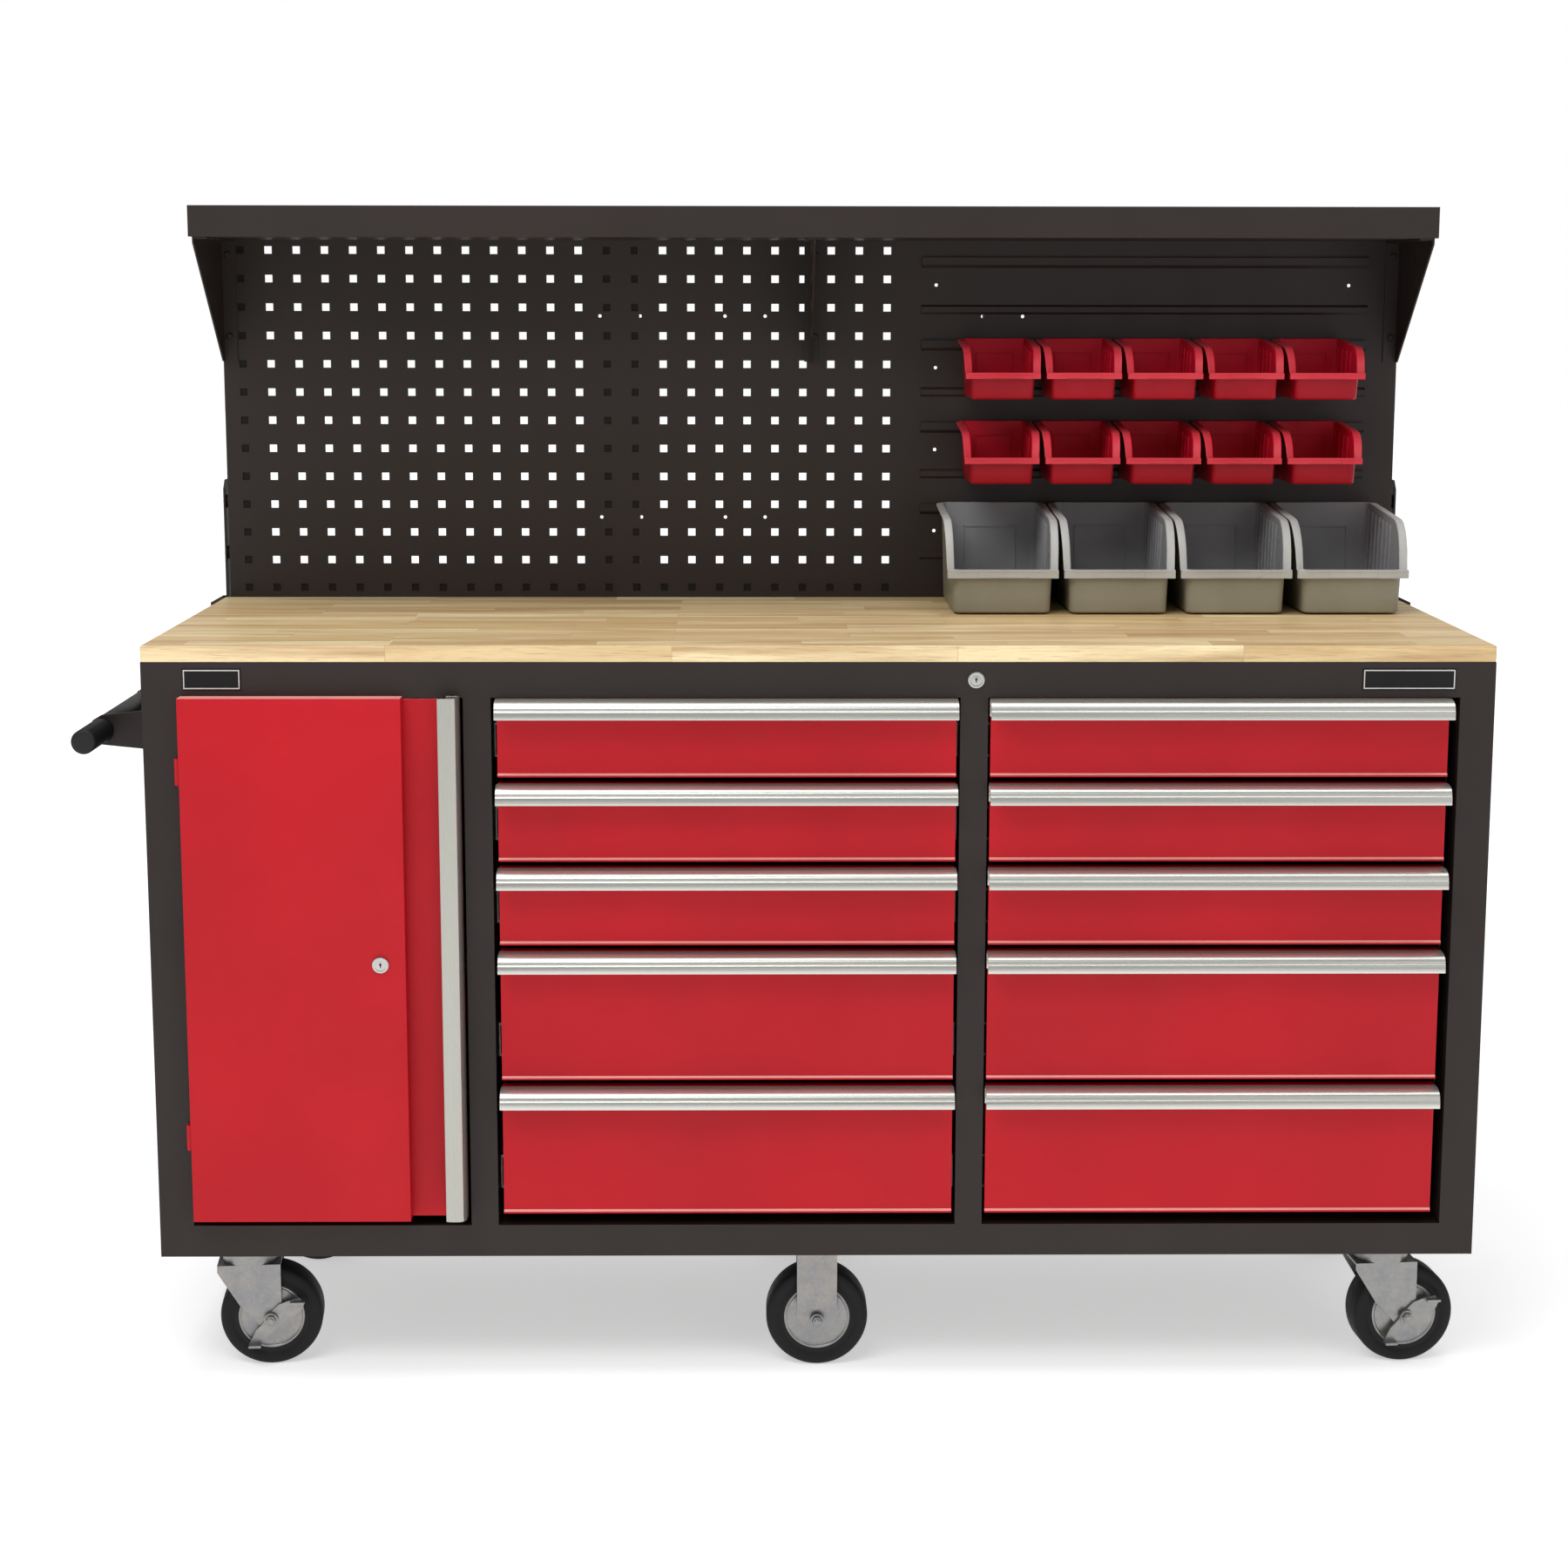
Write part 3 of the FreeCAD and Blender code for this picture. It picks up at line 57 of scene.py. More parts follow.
class Look:
    """One procedural material, built on object coordinates, which are the row frame's metres."""

    def __init__(self, name, colour, roughness, metallic=0.0, **sockets):
        self.material = bpy.data.materials.new(name)
        self.material.use_nodes = True
        self.tree = self.material.node_tree
        self.shader = self.tree.nodes["Principled BSDF"]
        self.shader.inputs["Base Color"].default_value = (*colour, 1)
        self.shader.inputs["Roughness"].default_value = roughness
        self.shader.inputs["Metallic"].default_value = metallic
        for socket, value in sockets.items():
            self.shader.inputs[socket.replace("_", " ")].default_value = value
        self.position = self.tree.nodes.new("ShaderNodeTexCoord").outputs["Object"]

    def node(self, kind, inputs=(), **settings):
        """A node with its settings, and its inputs as values or as links."""
        made = self.tree.nodes.new("ShaderNode" + kind)
        for key, value in settings.items():
            setattr(made, key, value)
        for key, value in dict(inputs).items():
            if isinstance(value, bpy.types.NodeSocket):
                self.tree.links.new(value, made.inputs[key])
            else:
                made.inputs[key].default_value = value
        return made

    def stretched(self, scale, offset=None):
        """Position scaled along each axis."""
        inputs = {"Vector": self.position, "Scale": scale}
        if offset is not None:
            inputs["Location"] = offset
        return self.node("Mapping", inputs).outputs["Vector"]

    def noise(self, scale, detail=3.0, stretch=(1, 1, 1), rough=0.5):
        """Smooth noise from 0 to 1, with scale in waves to the metre."""
        return self.node("TexNoise", {"Vector": self.stretched(stretch), "Scale": scale, "Detail": detail,
                                      "Roughness": rough}).outputs["Fac"]

    def span(self, value, low, high, start=0.0, end=1.0):
        """A value carried from one range to another."""
        return self.node("MapRange", {"Value": value, "From Min": start, "From Max": end,
                                      "To Min": low, "To Max": high}).outputs["Result"]

    def mix(self, share, first, second):
        """Two colours mixed."""
        made = self.tree.nodes.new("ShaderNodeMix")
        made.data_type = "RGBA"
        for key, value in (("Factor", share), ("A", first), ("B", second)):
            socket = [s for s in made.inputs if s.name == key and s.enabled][0]
            if isinstance(value, bpy.types.NodeSocket):
                self.tree.links.new(value, socket)
            elif isinstance(value, tuple):
                socket.default_value = (*value, 1)[:4]
            else:
                socket.default_value = value
        return [s for s in made.outputs if s.enabled][0]

    def math(self, operation, first, second=0.0):
        """Arithmetic on two values."""
        made = self.node("Math", operation=operation)
        for socket, value in zip(made.inputs, (first, second)):
            if isinstance(value, bpy.types.NodeSocket):
                self.tree.links.new(value, socket)
            else:
                socket.default_value = value
        return made.outputs[0]

    def set(self, socket, value):
        """Links a value into the shader."""
        self.tree.links.new(value, self.shader.inputs[socket])

    def bump(self, *layers):
        """Relief from (height, strength, depth in metres) layers."""
        normal = None
        for height, strength, depth in layers:
            inputs = {"Height": height, "Strength": strength, "Distance": depth}
            if normal is not None:
                inputs["Normal"] = normal
            normal = self.node("Bump", inputs).outputs["Normal"]
        self.set("Normal", normal)


def tone(colour, factor):
    """A colour made lighter or darker."""
    return tuple(min(1.0, channel * factor) for channel in colour)


# ---------------------------------------------------------------- materials

# Metres.
STAVE_LENGTH = 0.34
STAVE_WIDTH = 0.0432


def powder_coat(name, colour, roughness, orange_peel=0.10, coat=0.05, specular=0.32):
    """Baked powder paint: orange peel, faint cloudiness and a little dust in the gloss."""
    look = Look(name, colour, roughness, Coat_Weight=coat, Coat_Roughness=0.30,
                Specular_IOR_Level=specular)
    clouds = look.noise(3.2, 4, rough=0.6)
    cloudy = look.span(clouds, 0, 1, 0.3, 0.7)
    look.set("Base Color", look.mix(cloudy, tone(colour, 0.90), tone(colour, 1.10)))
    smears = look.noise(11, 5, (1, 1, 0.35), 0.65)
    look.set("Roughness", look.span(smears, roughness - 0.06, roughness + 0.08, 0.3, 0.7))
    look.bump((look.noise(620, 2), orange_peel, 0.0004), (look.noise(70, 2), 0.05, 0.0008))
    return look.material


def brushed_aluminium(name, lengthwise, colour):
    """Satin extrusion with fine die lines along its length."""
    look = Look(name, colour, 0.27, 0.78, Anisotropic=0.30)
    stretch = [420, 420, 420]
    stretch["xyz".index(lengthwise)] = 2.5
    lines = look.noise(1, 3, tuple(stretch), 0.7)
    streaky = look.span(lines, 0, 1, 0.25, 0.75)
    look.set("Base Color", look.mix(streaky, tone(colour, 0.93), tone(colour, 1.05)))
    look.set("Roughness", look.span(lines, 0.22, 0.34, 0.25, 0.75))
    look.bump((lines, 0.04, 0.0002), (look.noise(900, 1), 0.02, 0.0001))
    return look.material


def zinc(name):
    """Bright zinc plate, with the faint blue and straw mottling of its passivation."""
    colour = (0.29, 0.29, 0.286)
    look = Look(name, colour, 0.36, 0.85)
    patches = look.noise(38, 4, rough=0.6)
    cool = look.mix(look.span(patches, 0, 1, 0.35, 0.65), (0.25, 0.257, 0.268), (0.305, 0.298, 0.28))
    spangle = look.node("TexVoronoi", {"Vector": look.position, "Scale": 210.0}).outputs["Distance"]
    look.set("Base Color", look.mix(look.span(spangle, 0.30, 0.0, 0.0, 0.6), cool, (0.37, 0.37, 0.362)))
    look.set("Roughness", look.span(look.noise(120, 4, rough=0.7), 0.24, 0.46, 0.3, 0.7))
    look.bump((look.noise(240, 3), 0.08, 0.0004))
    return look.material


def chrome(name):
    """Nickel-plated lock parts with turning marks."""
    look = Look(name, (0.46, 0.45, 0.43), 0.18, 1.0)
    marks = look.noise(1400, 2)
    look.set("Roughness", look.span(marks, 0.14, 0.30, 0.3, 0.7))
    look.set("Base Color", look.mix(look.noise(160, 3), (0.40, 0.39, 0.37), (0.52, 0.51, 0.49)))
    look.bump((marks, 0.06, 0.0001))
    return look.material


def rubber(name, colour=(0.009, 0.009, 0.0092)):
    """Moulded tyre rubber: bloom, fine pitting and scuffed tread."""
    look = Look(name, colour, 0.62, Specular_IOR_Level=0.22)
    bloom = look.noise(26, 5, rough=0.7)
    look.set("Base Color", look.mix(look.span(bloom, 0, 1, 0.35, 0.75), colour, tone(colour, 2.1)))
    look.set("Roughness", look.span(bloom, 0.50, 0.78, 0.3, 0.7))
    look.bump((look.noise(520, 3), 0.22, 0.0005), (look.noise(90, 2), 0.10, 0.0008))
    return look.material


def moulded(name, dark, light, roughness=0.40):
    """Injection-moulded polypropylene: spark-eroded grain, flow marks and slight colour drift."""
    look = Look(name, dark, roughness, Subsurface_Weight=0.04, Specular_IOR_Level=0.18)
    look.shader.inputs["Subsurface Radius"].default_value = (0.004, 0.003, 0.003)
    flow = look.noise(9, 4, (1, 1, 0.4), 0.55)
    look.set("Base Color", look.mix(look.span(flow, 0, 1, 0.3, 0.7), dark, light))
    look.set("Roughness", look.span(look.noise(60, 3), roughness - 0.07, roughness + 0.09, 0.3, 0.7))
    look.bump((look.noise(1300, 2), 0.16, 0.0003), (look.noise(30, 2), 0.06, 0.0010))
    return look.material


def stave_pattern(look, other, joint, **joints):
    """Staves laid in rows like bricks, as one channel that varies by stave or shows the joints."""
    pattern = {"Vector": look.stretched((1, 1, 0.0), (0.13, 0.281, 0.5)), "Color1": (0.0, 0.0, 0.0, 1),
               "Color2": (other, other, other, 1), "Mortar": (joint, joint, joint, 1), "Scale": 1.0,
               "Brick Width": STAVE_LENGTH, "Row Height": STAVE_WIDTH, **joints}
    bricks = look.node("TexBrick", pattern, offset=0.37, offset_frequency=2, squash=0.72, squash_frequency=3)
    return look.node("SeparateColor", {"Color": bricks.outputs["Color"]}).outputs["Red"]


def finger_jointed_timber(name):
    """Lacquered staves of pale hardwood, butted end to end and side by side."""
    look = Look(name, (0.72, 0.52, 0.31), 0.42, Coat_Weight=0.25, Coat_Roughness=0.30)
    shade = stave_pattern(look, 1.0, 0.5, **{"Mortar Size": 0.0})
    seam = stave_pattern(look, 0.0, 1.0, **{"Mortar Size": 0.0005, "Mortar Smooth": 0.6})
    shift = look.node("CombineXYZ", {"X": look.math("MULTIPLY", shade, 7.3),
                                     "Y": look.math("MULTIPLY", shade, 3.1),
                                     "Z": look.math("MULTIPLY", shade, 1.7)}).outputs["Vector"]
    moved = look.node("VectorMath", operation="ADD")
    look.tree.links.new(look.stretched((1.7, 24, 24)), moved.inputs[0])
    look.tree.links.new(shift, moved.inputs[1])
    grain = look.node("TexNoise", {"Vector": moved.outputs["Vector"], "Scale": 1.0, "Detail": 6.0,
                                   "Roughness": 0.62, "Distortion": 0.9}).outputs["Fac"]
    pores = look.noise(1, 3, (26, 900, 900), 0.6)
    sapwood = look.mix(shade, (0.98, 0.80, 0.48), (0.72, 0.50, 0.23))
    figured = look.mix(look.span(grain, 0, 1.0, 0.40, 0.66), sapwood, (0.52, 0.33, 0.145))
    flecked = look.mix(look.span(pores, 0, 0.8, 0.56, 0.72), figured, (0.42, 0.25, 0.105))
    look.set("Base Color", look.mix(look.math("MULTIPLY", seam, 0.55), flecked, (0.46, 0.29, 0.14)))
    look.set("Roughness", look.span(grain, 0.34, 0.52, 0.3, 0.7))
    look.bump((pores, 0.10, 0.0002), (seam, 0.25, 0.0002))
    return look.material


CHARCOAL = powder_coat("charcoal_paint", (0.0235, 0.0165, 0.0145), 0.46, specular=0.27)
# Painted shade: a near-black copy of the charcoal paint for the posts, which sit in shadow behind the peg holes.
POST_PAINTED_SHADE = powder_coat("post_painted_shade", (0.008, 0.007, 0.0065), 0.60, specular=0.15)
RED = powder_coat("red_paint", (0.50, 0.005, 0.013), 0.40, 0.07, 0.05, 0.20)
# Painted highlight: a pale pink copy of the red paint for faces that catch the overhead light, the drawers' lip
# slopes and the door's top.
RED_PAINTED_HIGHLIGHT = powder_coat("red_painted_highlight", (0.95, 0.36, 0.33), 0.36, 0.05, 0.20, 0.40)
TRAY = powder_coat("tray_paint", (0.030, 0.028, 0.027), 0.50)
TUBE = powder_coat("black_tube", (0.012, 0.012, 0.013), 0.34)
PULL = brushed_aluminium("pull_aluminium", "x", (0.62, 0.62, 0.58))
# Painted shade: the upright door pull is the same aluminium as the drawer pulls, in a darker copy.
DOOR_PULL_PAINTED_SHADE = brushed_aluminium("door_pull_aluminium_painted_shade", "z", (0.42, 0.42, 0.38))
ZINC = zinc("zinc_plate")
NICKEL = chrome("lock_nickel")
RUBBER = rubber("tyre_rubber")
CAP_PLASTIC = moulded("cap_plastic", (0.014, 0.014, 0.014), (0.024, 0.024, 0.024), 0.5)
RED_PLASTIC = moulded("red_plastic", (0.30, 0.002, 0.010), (0.38, 0.003, 0.014), 0.36)
# Painted highlight: the rim copies are lighter than the bin plastic, for the rim catching the light.
RED_RIM_PAINTED_HIGHLIGHT = moulded("red_rim_painted_highlight", (0.56, 0.030, 0.048), (0.66, 0.050, 0.070), 0.38)
# Painted light: a lighter copy of the red bin plastic for the shaded inside.
RED_INSIDE_PAINTED_LIGHT = moulded("red_inside_painted_light", (0.54, 0.005, 0.024), (0.66, 0.009, 0.034), 0.42)
GREY_PLASTIC = moulded("grey_plastic", (0.255, 0.245, 0.190), (0.310, 0.300, 0.240), 0.40)
# Painted highlight: a lighter copy of the grey bin plastic for the rim.
GREY_RIM_PAINTED_HIGHLIGHT = moulded("grey_rim_painted_highlight", (0.40, 0.40, 0.385), (0.50, 0.50, 0.48), 0.40)
# Painted light: a lighter, cooler copy of the grey bin plastic for the shaded inside.
GREY_INSIDE_PAINTED_LIGHT = moulded("grey_inside_painted_light", (0.270, 0.272, 0.280), (0.350, 0.352, 0.362), 0.34)
TIMBER = finger_jointed_timber("worktop_timber")
BADGE = moulded("badge_black", (0.0085, 0.0085, 0.0085), (0.0105, 0.0105, 0.0105), 0.40)
BADGE_EDGE = moulded("badge_border", (0.55, 0.55, 0.54), (0.68, 0.68, 0.67), 0.35)
# Painted shade: near black for the keyway block, which stands for the slot's shadow.
KEYWAY_PAINTED_SHADE = moulded("keyway_painted_shade", (0.003, 0.003, 0.003), (0.006, 0.006, 0.006), 0.55)
# Each bin takes its plastic, then a lighter rim copy as painted highlight, then an inside copy tuned to the shaded
# inside as painted light.
BIN_PLASTICS = {"red": [RED_PLASTIC, RED_RIM_PAINTED_HIGHLIGHT, RED_INSIDE_PAINTED_LIGHT], "grey": [GREY_PLASTIC, GREY_RIM_PAINTED_HIGHLIGHT, GREY_INSIDE_PAINTED_LIGHT]}


# ---------------------------------------------------------------- mesh helpers

def finish_piece(name, bm, materials, body, bevel=0.0, segments=2, sharp=35):
    """Makes a piece from a bmesh, shaded smooth up to an angle, and rides it on a body."""
    bmesh.ops.recalc_face_normals(bm, faces=bm.faces)
    mesh = bpy.data.meshes.new(name)
    bm.to_mesh(mesh)
    bm.free()
    for material in materials:
        mesh.materials.append(material)
    mesh.polygons.foreach_set("use_smooth", [True] * len(mesh.polygons))
    mesh.set_sharp_from_angle(angle=math.radians(sharp))
    piece = bpy.data.objects.new(name, mesh)
    bpy.context.scene.collection.objects.link(piece)
    if bevel:
        round_edges(piece, bevel, segments)
    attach(piece, body)
    return piece


def round_edges(piece, width, segments):
    """Rounds a piece's sharp edges, keeping its flat faces flat to the eye."""
    modifier = piece.modifiers.new("edge", "BEVEL")
    modifier.width = width
    modifier.segments = segments
    modifier.limit_method = "ANGLE"
    modifier.angle_limit = math.radians(35)
    modifier.harden_normals = True
    modifier.use_clamp_overlap = True
    modifier.miter_outer = "MITER_ARC"


def solids(node):
    """The separate solids of a CAD node, each as its own bmesh with its flat faces joined up."""
    whole = bmesh.new()
    whole.from_mesh(NODES[node].data)
    bmesh.ops.remove_doubles(whole, verts=whole.verts, dist=2e-6)
    # The faces are taken in the mesh's own order, because a set's order differs from run to run.
    seen = set()
    found = []
    for first in whole.faces:
        if first in seen:
            continue
        seen.add(first)
        stack = [first]
        island = []
        while stack:
            face = stack.pop()
            island.append(face)
            for edge in face.edges:
                if len(edge.link_faces) == 2:
                    for other in edge.link_faces:
                        if other not in seen:
                            seen.add(other)
                            stack.append(other)
        found.append(island)
    made = []
    for island in found:
        part = bmesh.new()
        copies = {}
        for face in island:
            for vert in face.verts:
                if vert not in copies:
                    copies[vert] = part.verts.new(vert.co)
        for face in island:
            part.faces.new([copies[vert] for vert in face.verts])
        bmesh.ops.dissolve_limit(part, angle_limit=math.radians(0.5), verts=part.verts, edges=part.edges)
        made.append(part)
    whole.free()
    return made


def extent(bm):
    """The lowest and highest corners of a bmesh."""
    lows = Vector([min(vert.co[axis] for vert in bm.verts) for axis in range(3)])
    highs = Vector([max(vert.co[axis] for vert in bm.verts) for axis in range(3)])
    return lows, highs


def join(parts):
    """Several bmeshes as one."""
    whole = bmesh.new()
    for part in parts:
        mesh = bpy.data.meshes.new("part")
        part.to_mesh(mesh)
        part.free()
        whole.from_mesh(mesh)
        bpy.data.meshes.remove(mesh)
    return whole


def redo(node, material, bevel, sharp=35):
    """Stands a piece with rounded edges in for a CAD node."""
    body = join(solids(node))
    piece = finish_piece(node + "_body", body, [material], BODY_OF[node], bevel, 2, sharp)
    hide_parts(node)


def repaint(node, material):
    """Gives a CAD node another material."""
    NODES[node].data.materials.clear()
    NODES[node].data.materials.append(material)


def scaled(profile):
    """A profile in millimetres, in metres."""
    return [(size * MM, level * MM) for size, level in profile]


def mirrored(profile):
    """A profile and its mirror image across the middle plane."""
    return profile + [(size, -level) for size, level in reversed(profile)]


def joint_of(node):
    """The joint that moves a node's body."""
    return [row for row in frame["joints"] if row["child"] == node][0]


def add_block(bm, low, high):
    """Adds a block to a bmesh."""
    low, high = Vector(low), Vector(high)
    matrix = Matrix.Translation((low + high) / 2) @ Matrix.Diagonal((*(high - low), 1))
    bmesh.ops.create_cube(bm, size=1, matrix=matrix)


def add_lathe(bm, profile, centre, axis, steps=72):
    """Adds a closed ring of (radius, height) points turned about an axis through a centre."""
    turn = Vector((0, 0, 1)).rotation_difference(Vector(axis)).to_matrix().to_4x4()
    place = Matrix.Translation(centre) @ turn
    rings = []
    for step in range(steps):
        angle = 2 * math.pi * step / steps
        across, along = math.cos(angle), math.sin(angle)
        rings.append([bm.verts.new(place @ Vector((radius * across, radius * along, height)))
                      for radius, height in profile])
    count = len(profile)
    for step in range(steps):
        here, there = rings[step], rings[(step + 1) % steps]
        for index in range(count):
            after = (index + 1) % count
            bm.faces.new((here[index], there[index], there[after], here[after]))


def add_button(bm, centre, axis, radius, height, sides=24, dome=0.35):
    """Adds a disc or a hexagon with a chamfered face, standing on a centre along an axis."""
    turn = Vector((0, 0, 1)).rotation_difference(Vector(axis)).to_matrix().to_4x4()
    place = Matrix.Translation(centre) @ turn
    levels = [(radius, 0), (radius, height * (1 - dome)), (radius * (1 - 0.5 * dome), height)]
    rings = []
    for size, level in levels:
        rings.append([bm.verts.new(place @ Vector((size * math.cos(2 * math.pi * step / sides),
                                                   size * math.sin(2 * math.pi * step / sides), level)))
                      for step in range(sides)])
    for lower, upper in zip(rings, rings[1:]):
        for step in range(sides):
            after = (step + 1) % sides
            bm.faces.new((lower[step], lower[after], upper[after], upper[step]))
    bm.faces.new(rings[-1])
    bm.faces.new(list(reversed(rings[0])))


# ---------------------------------------------------------------- cabinet

def dress_cabinet():
    """Folded and welded steel: rounded edges on what shows, paint on the rest."""
    for node, width in (("front_frame", 1.2), ("overhead_shelf", 0.9), ("shelf_brackets", 0.7),
                        ("backboard_brackets", 0.7), ("push_handle_brackets", 0.9), ("cupboard_shelf", 0.5)):
        redo(node, CHARCOAL, width * MM)
    # Painted shade: the posts behind the peg holes get the near-black copy of the charcoal paint.
    redo("backboard_posts", POST_PAINTED_SHADE, 1.2 * MM)
    redo("worktop", TIMBER, 2.2 * MM)
    for node in ("side_panel_left", "side_panel_right", "cabinet_back", "cabinet_floor", "cabinet_dividers",
                 "back_panel"):
        repaint(node, CHARCOAL)
    repaint("drawer_runners", ZINC)


# The last skin is the painted highlight on the sloped face of the front's lower lip.
FRONT_SKIN, TRAY_SKIN, SLIDE_SKIN, LIP_HIGHLIGHT_SKIN = range(4)
# Millimetres: a pull is shallower and wider than these, the tray starts this far behind the pull's front, the
# slides lie outside this distance from the middle, and the front's lower lip is below this height.
PULL_REACH = 60
PULL_LENGTH = 549
TRAY_START = 43.5
SLIDE_FACE = 266.3
LIP_HEIGHT = 8


def dress_drawer(node):
    """A red pressed front with a painted highlight on its lower lip's sloped face, a dark tray, zinc slide bars
    and a satin pull.
    """
    low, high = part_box(node)
    rest, pulls = [], []
    for part in solids(node):
        lowest, highest = extent(part)
        is_pull = highest.y - low.y < PULL_REACH * MM and highest.x - lowest.x > PULL_LENGTH * MM
        (pulls if is_pull else rest).append(part)
    body = join(rest)
    body.normal_update()
    for surface in body.faces:
        middle = surface.calc_center_median()
        slope = surface.normal.z > 0.3 and surface.normal.y < -0.3
        if middle.y > low.y + TRAY_START * MM:
            slide = abs(middle.x - (low.x + high.x) / 2) > SLIDE_FACE * MM
            surface.material_index = SLIDE_SKIN if slide else TRAY_SKIN
        # Painted highlight: the sloped top of each drawer front's lower lip gets the pale pink copy of the red
        # paint.
        elif slope and middle.z < low.z + LIP_HEIGHT * MM:
            surface.material_index = LIP_HIGHLIGHT_SKIN
        else:
            surface.material_index = FRONT_SKIN
    skins = [RED, TRAY, ZINC, RED_PAINTED_HIGHLIGHT]
    piece = finish_piece(node + "_front", body, skins, node, 0.35 * MM)
    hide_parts(node)
    finish_piece(node + "_pull", join(pulls), [PULL], node, 0.35 * MM, 2, 50)


def dress_door():
    """The red door with a painted highlight on its upper edge, and its upright pull in a darkened copy of the pull
    aluminium (painted shade).
    """
    body = join(solids("door"))
    body.normal_update()
    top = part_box("door")[1].z
    for surface in body.faces:
        # Painted highlight: the door's top faces get the pale pink copy of the red paint.
        if surface.normal.z > 0.9 and surface.calc_center_median().z > top - 20 * MM:
            surface.material_index = 1
    piece = finish_piece("door_body", body, [RED, RED_PAINTED_HIGHLIGHT], "door", 0.5 * MM)
    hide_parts("door")
    # Painted shade: the door pull takes the darker copy of the pull aluminium.
    redo("door_handle", DOOR_PULL_PAINTED_SHADE, 0.4 * MM, 50)


def dress_lock(node):
    """A turned flange, a plug with a ring groove, and a near-black block on the plug standing for the keyway
    slot's shadow as painted shade.
    """
    low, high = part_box(node)
    repaint(node, NICKEL)
    centre = Vector(((low.x + high.x) / 2, low.y, (low.z + high.z) / 2))
    bm = bmesh.new()
    ring = [(6.9, 0), (6.9, 0.08), (7.4, 0.19), (9.1, 0.19), (9.7, 0.05), (9.7, 0)]
    add_lathe(bm, scaled(ring), centre, (0, -1, 0))
    add_button(bm, centre, (0, -1, 0), 5.6 * MM, 0.14 * MM, 40, 0.3)
    finish_piece(node + "_rim", bm, [NICKEL], BODY_OF[node], 0, sharp=40)
    # Painted shade: a near-black raised block stands for the dark inside of the keyway slot.
    slot = bmesh.new()
    forward = centre - Vector((0, 0.19 * MM, 0))
    add_block(slot, forward - Vector((0.6, 0, 3.2)) * MM, forward + Vector((0.6, 0.15, 3.2)) * MM)
    add_block(slot, forward - Vector((1.5, 0, 0.4)) * MM, forward + Vector((1.5, 0.15, 1.2)) * MM)
    finish_piece(node + "_keyway", slot, [KEYWAY_PAINTED_SHADE], BODY_OF[node], 0.03 * MM)


# ---------------------------------------------------------------- wheels and forks

def wheel_centre(node):
    """The middle of a wheel and the direction of its axle."""
    joint = joint_of(node)
    return Vector(joint["pos_m"]), Vector(joint["axis"]).normalized()


# Half the tyre's width, in millimetres.
TREAD_HALF = 23


def dress_wheel(node):
    """A moulded tyre with grooved shoulders on a pressed, dished rim."""
    centre, axle = wheel_centre(node)
    low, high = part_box(node)
    radius = (high.z - low.z) / 2 / MM
    side = -TREAD_HALF
    shoulder = [(41, side), (45.5, side), (46.2, side + 0.7), (48.2, side + 0.7), (49, side),
                (radius - 7.4, side)]
    tread = [(radius - 4.8, side + 0.6), (radius - 2.6, side + 1.6), (radius - 0.9, side + 3.8),
             (radius, side + 7.5)]
    bm = bmesh.new()
    add_lathe(bm, scaled(mirrored(shoulder + tread)), centre, axle, 96)
    tyre = finish_piece(node + "_tyre", bm, [RUBBER], BODY_OF[node], 0, sharp=50)
    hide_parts(node)

    dish = [(6.1, -25), (13.2, -25), (14, -24.2), (14, -23.0), (15.2, -22.6), (25, -22.6), (26, -22.3),
            (36.6, -22.3), (37.8, -22.7), (38.8, -23.5), (40.3, -23.6), (41, -23.0)]
    bm = bmesh.new()
    add_lathe(bm, scaled(mirrored(dish)), centre, axle, 96)
    finish_piece(node + "_rim", bm, [ZINC], BODY_OF[node], 0, sharp=30)


def dress_casters():
    """Zinc forks with rounded edges, hexagon axle nuts and a bright bearing race."""
    race = [(30, -11.5), (38, -11.5), (41.6, -10.4), (42.4, -8.4), (42.4, -6.6), (41.4, -4.8), (36, -3.6),
            (30, -3.6)]
    for corner in SWIVEL_CORNERS:
        fork = "swivel_fork_" + corner
        redo(fork, ZINC, 0.9 * MM, 30)
        pivot = Vector(joint_of(fork)["pos_m"])
        bm = bmesh.new()
        add_lathe(bm, scaled(race), Vector((pivot.x, pivot.y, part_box(fork)[1].z)), (0, 0, 1))
        finish_piece(fork + "_race", bm, [ZINC], fork, 0, sharp=30)
        dress_axle(fork, "wheel_" + corner)
    for spot in ("front_centre", "rear_centre"):
        dress_axle("fixed_caster_forks", "wheel_" + spot, spot)
        dress_wheel("wheel_" + spot)
    redo("fixed_caster_forks", ZINC, 0.9 * MM, 30)
    redo("caster_top_plates", ZINC, 0.8 * MM, 30)
    redo("fasteners", ZINC, 0.7 * MM, 30)
    for corner in SWIVEL_CORNERS:
        dress_wheel("wheel_" + corner)
    for corner in ("front_left", "front_right"):
        redo("brake_pedal_" + corner, ZINC, 0.7 * MM, 30)


# How far the nuts' washers are from the wheel's middle, in millimetres.
NUT_FACE = 36.4


def dress_axle(fork, wheel, tag="bolt"):
    """Hexagon nuts with washers on both ends of an axle."""
    centre, axle = wheel_centre(wheel)
    bm = bmesh.new()
    for side in (-1, 1):
        face = centre + axle * side * NUT_FACE * MM
        add_button(bm, face, axle * side, 8.7 * MM, 1.2 * MM, 40, 0.3)
        add_button(bm, face + axle * side * 1.1 * MM, axle * side, 6.6 * MM, 5.0 * MM, 6, 0.18)
        add_button(bm, face + axle * side * 6.0 * MM, axle * side, 3.8 * MM, 1.8 * MM, 24, 0.3)
    finish_piece(f"{fork}_{tag}_nuts", bm, [ZINC], BODY_OF[fork], 0.25 * MM, sharp=30)


# ---------------------------------------------------------------- push handle, badges, bolts

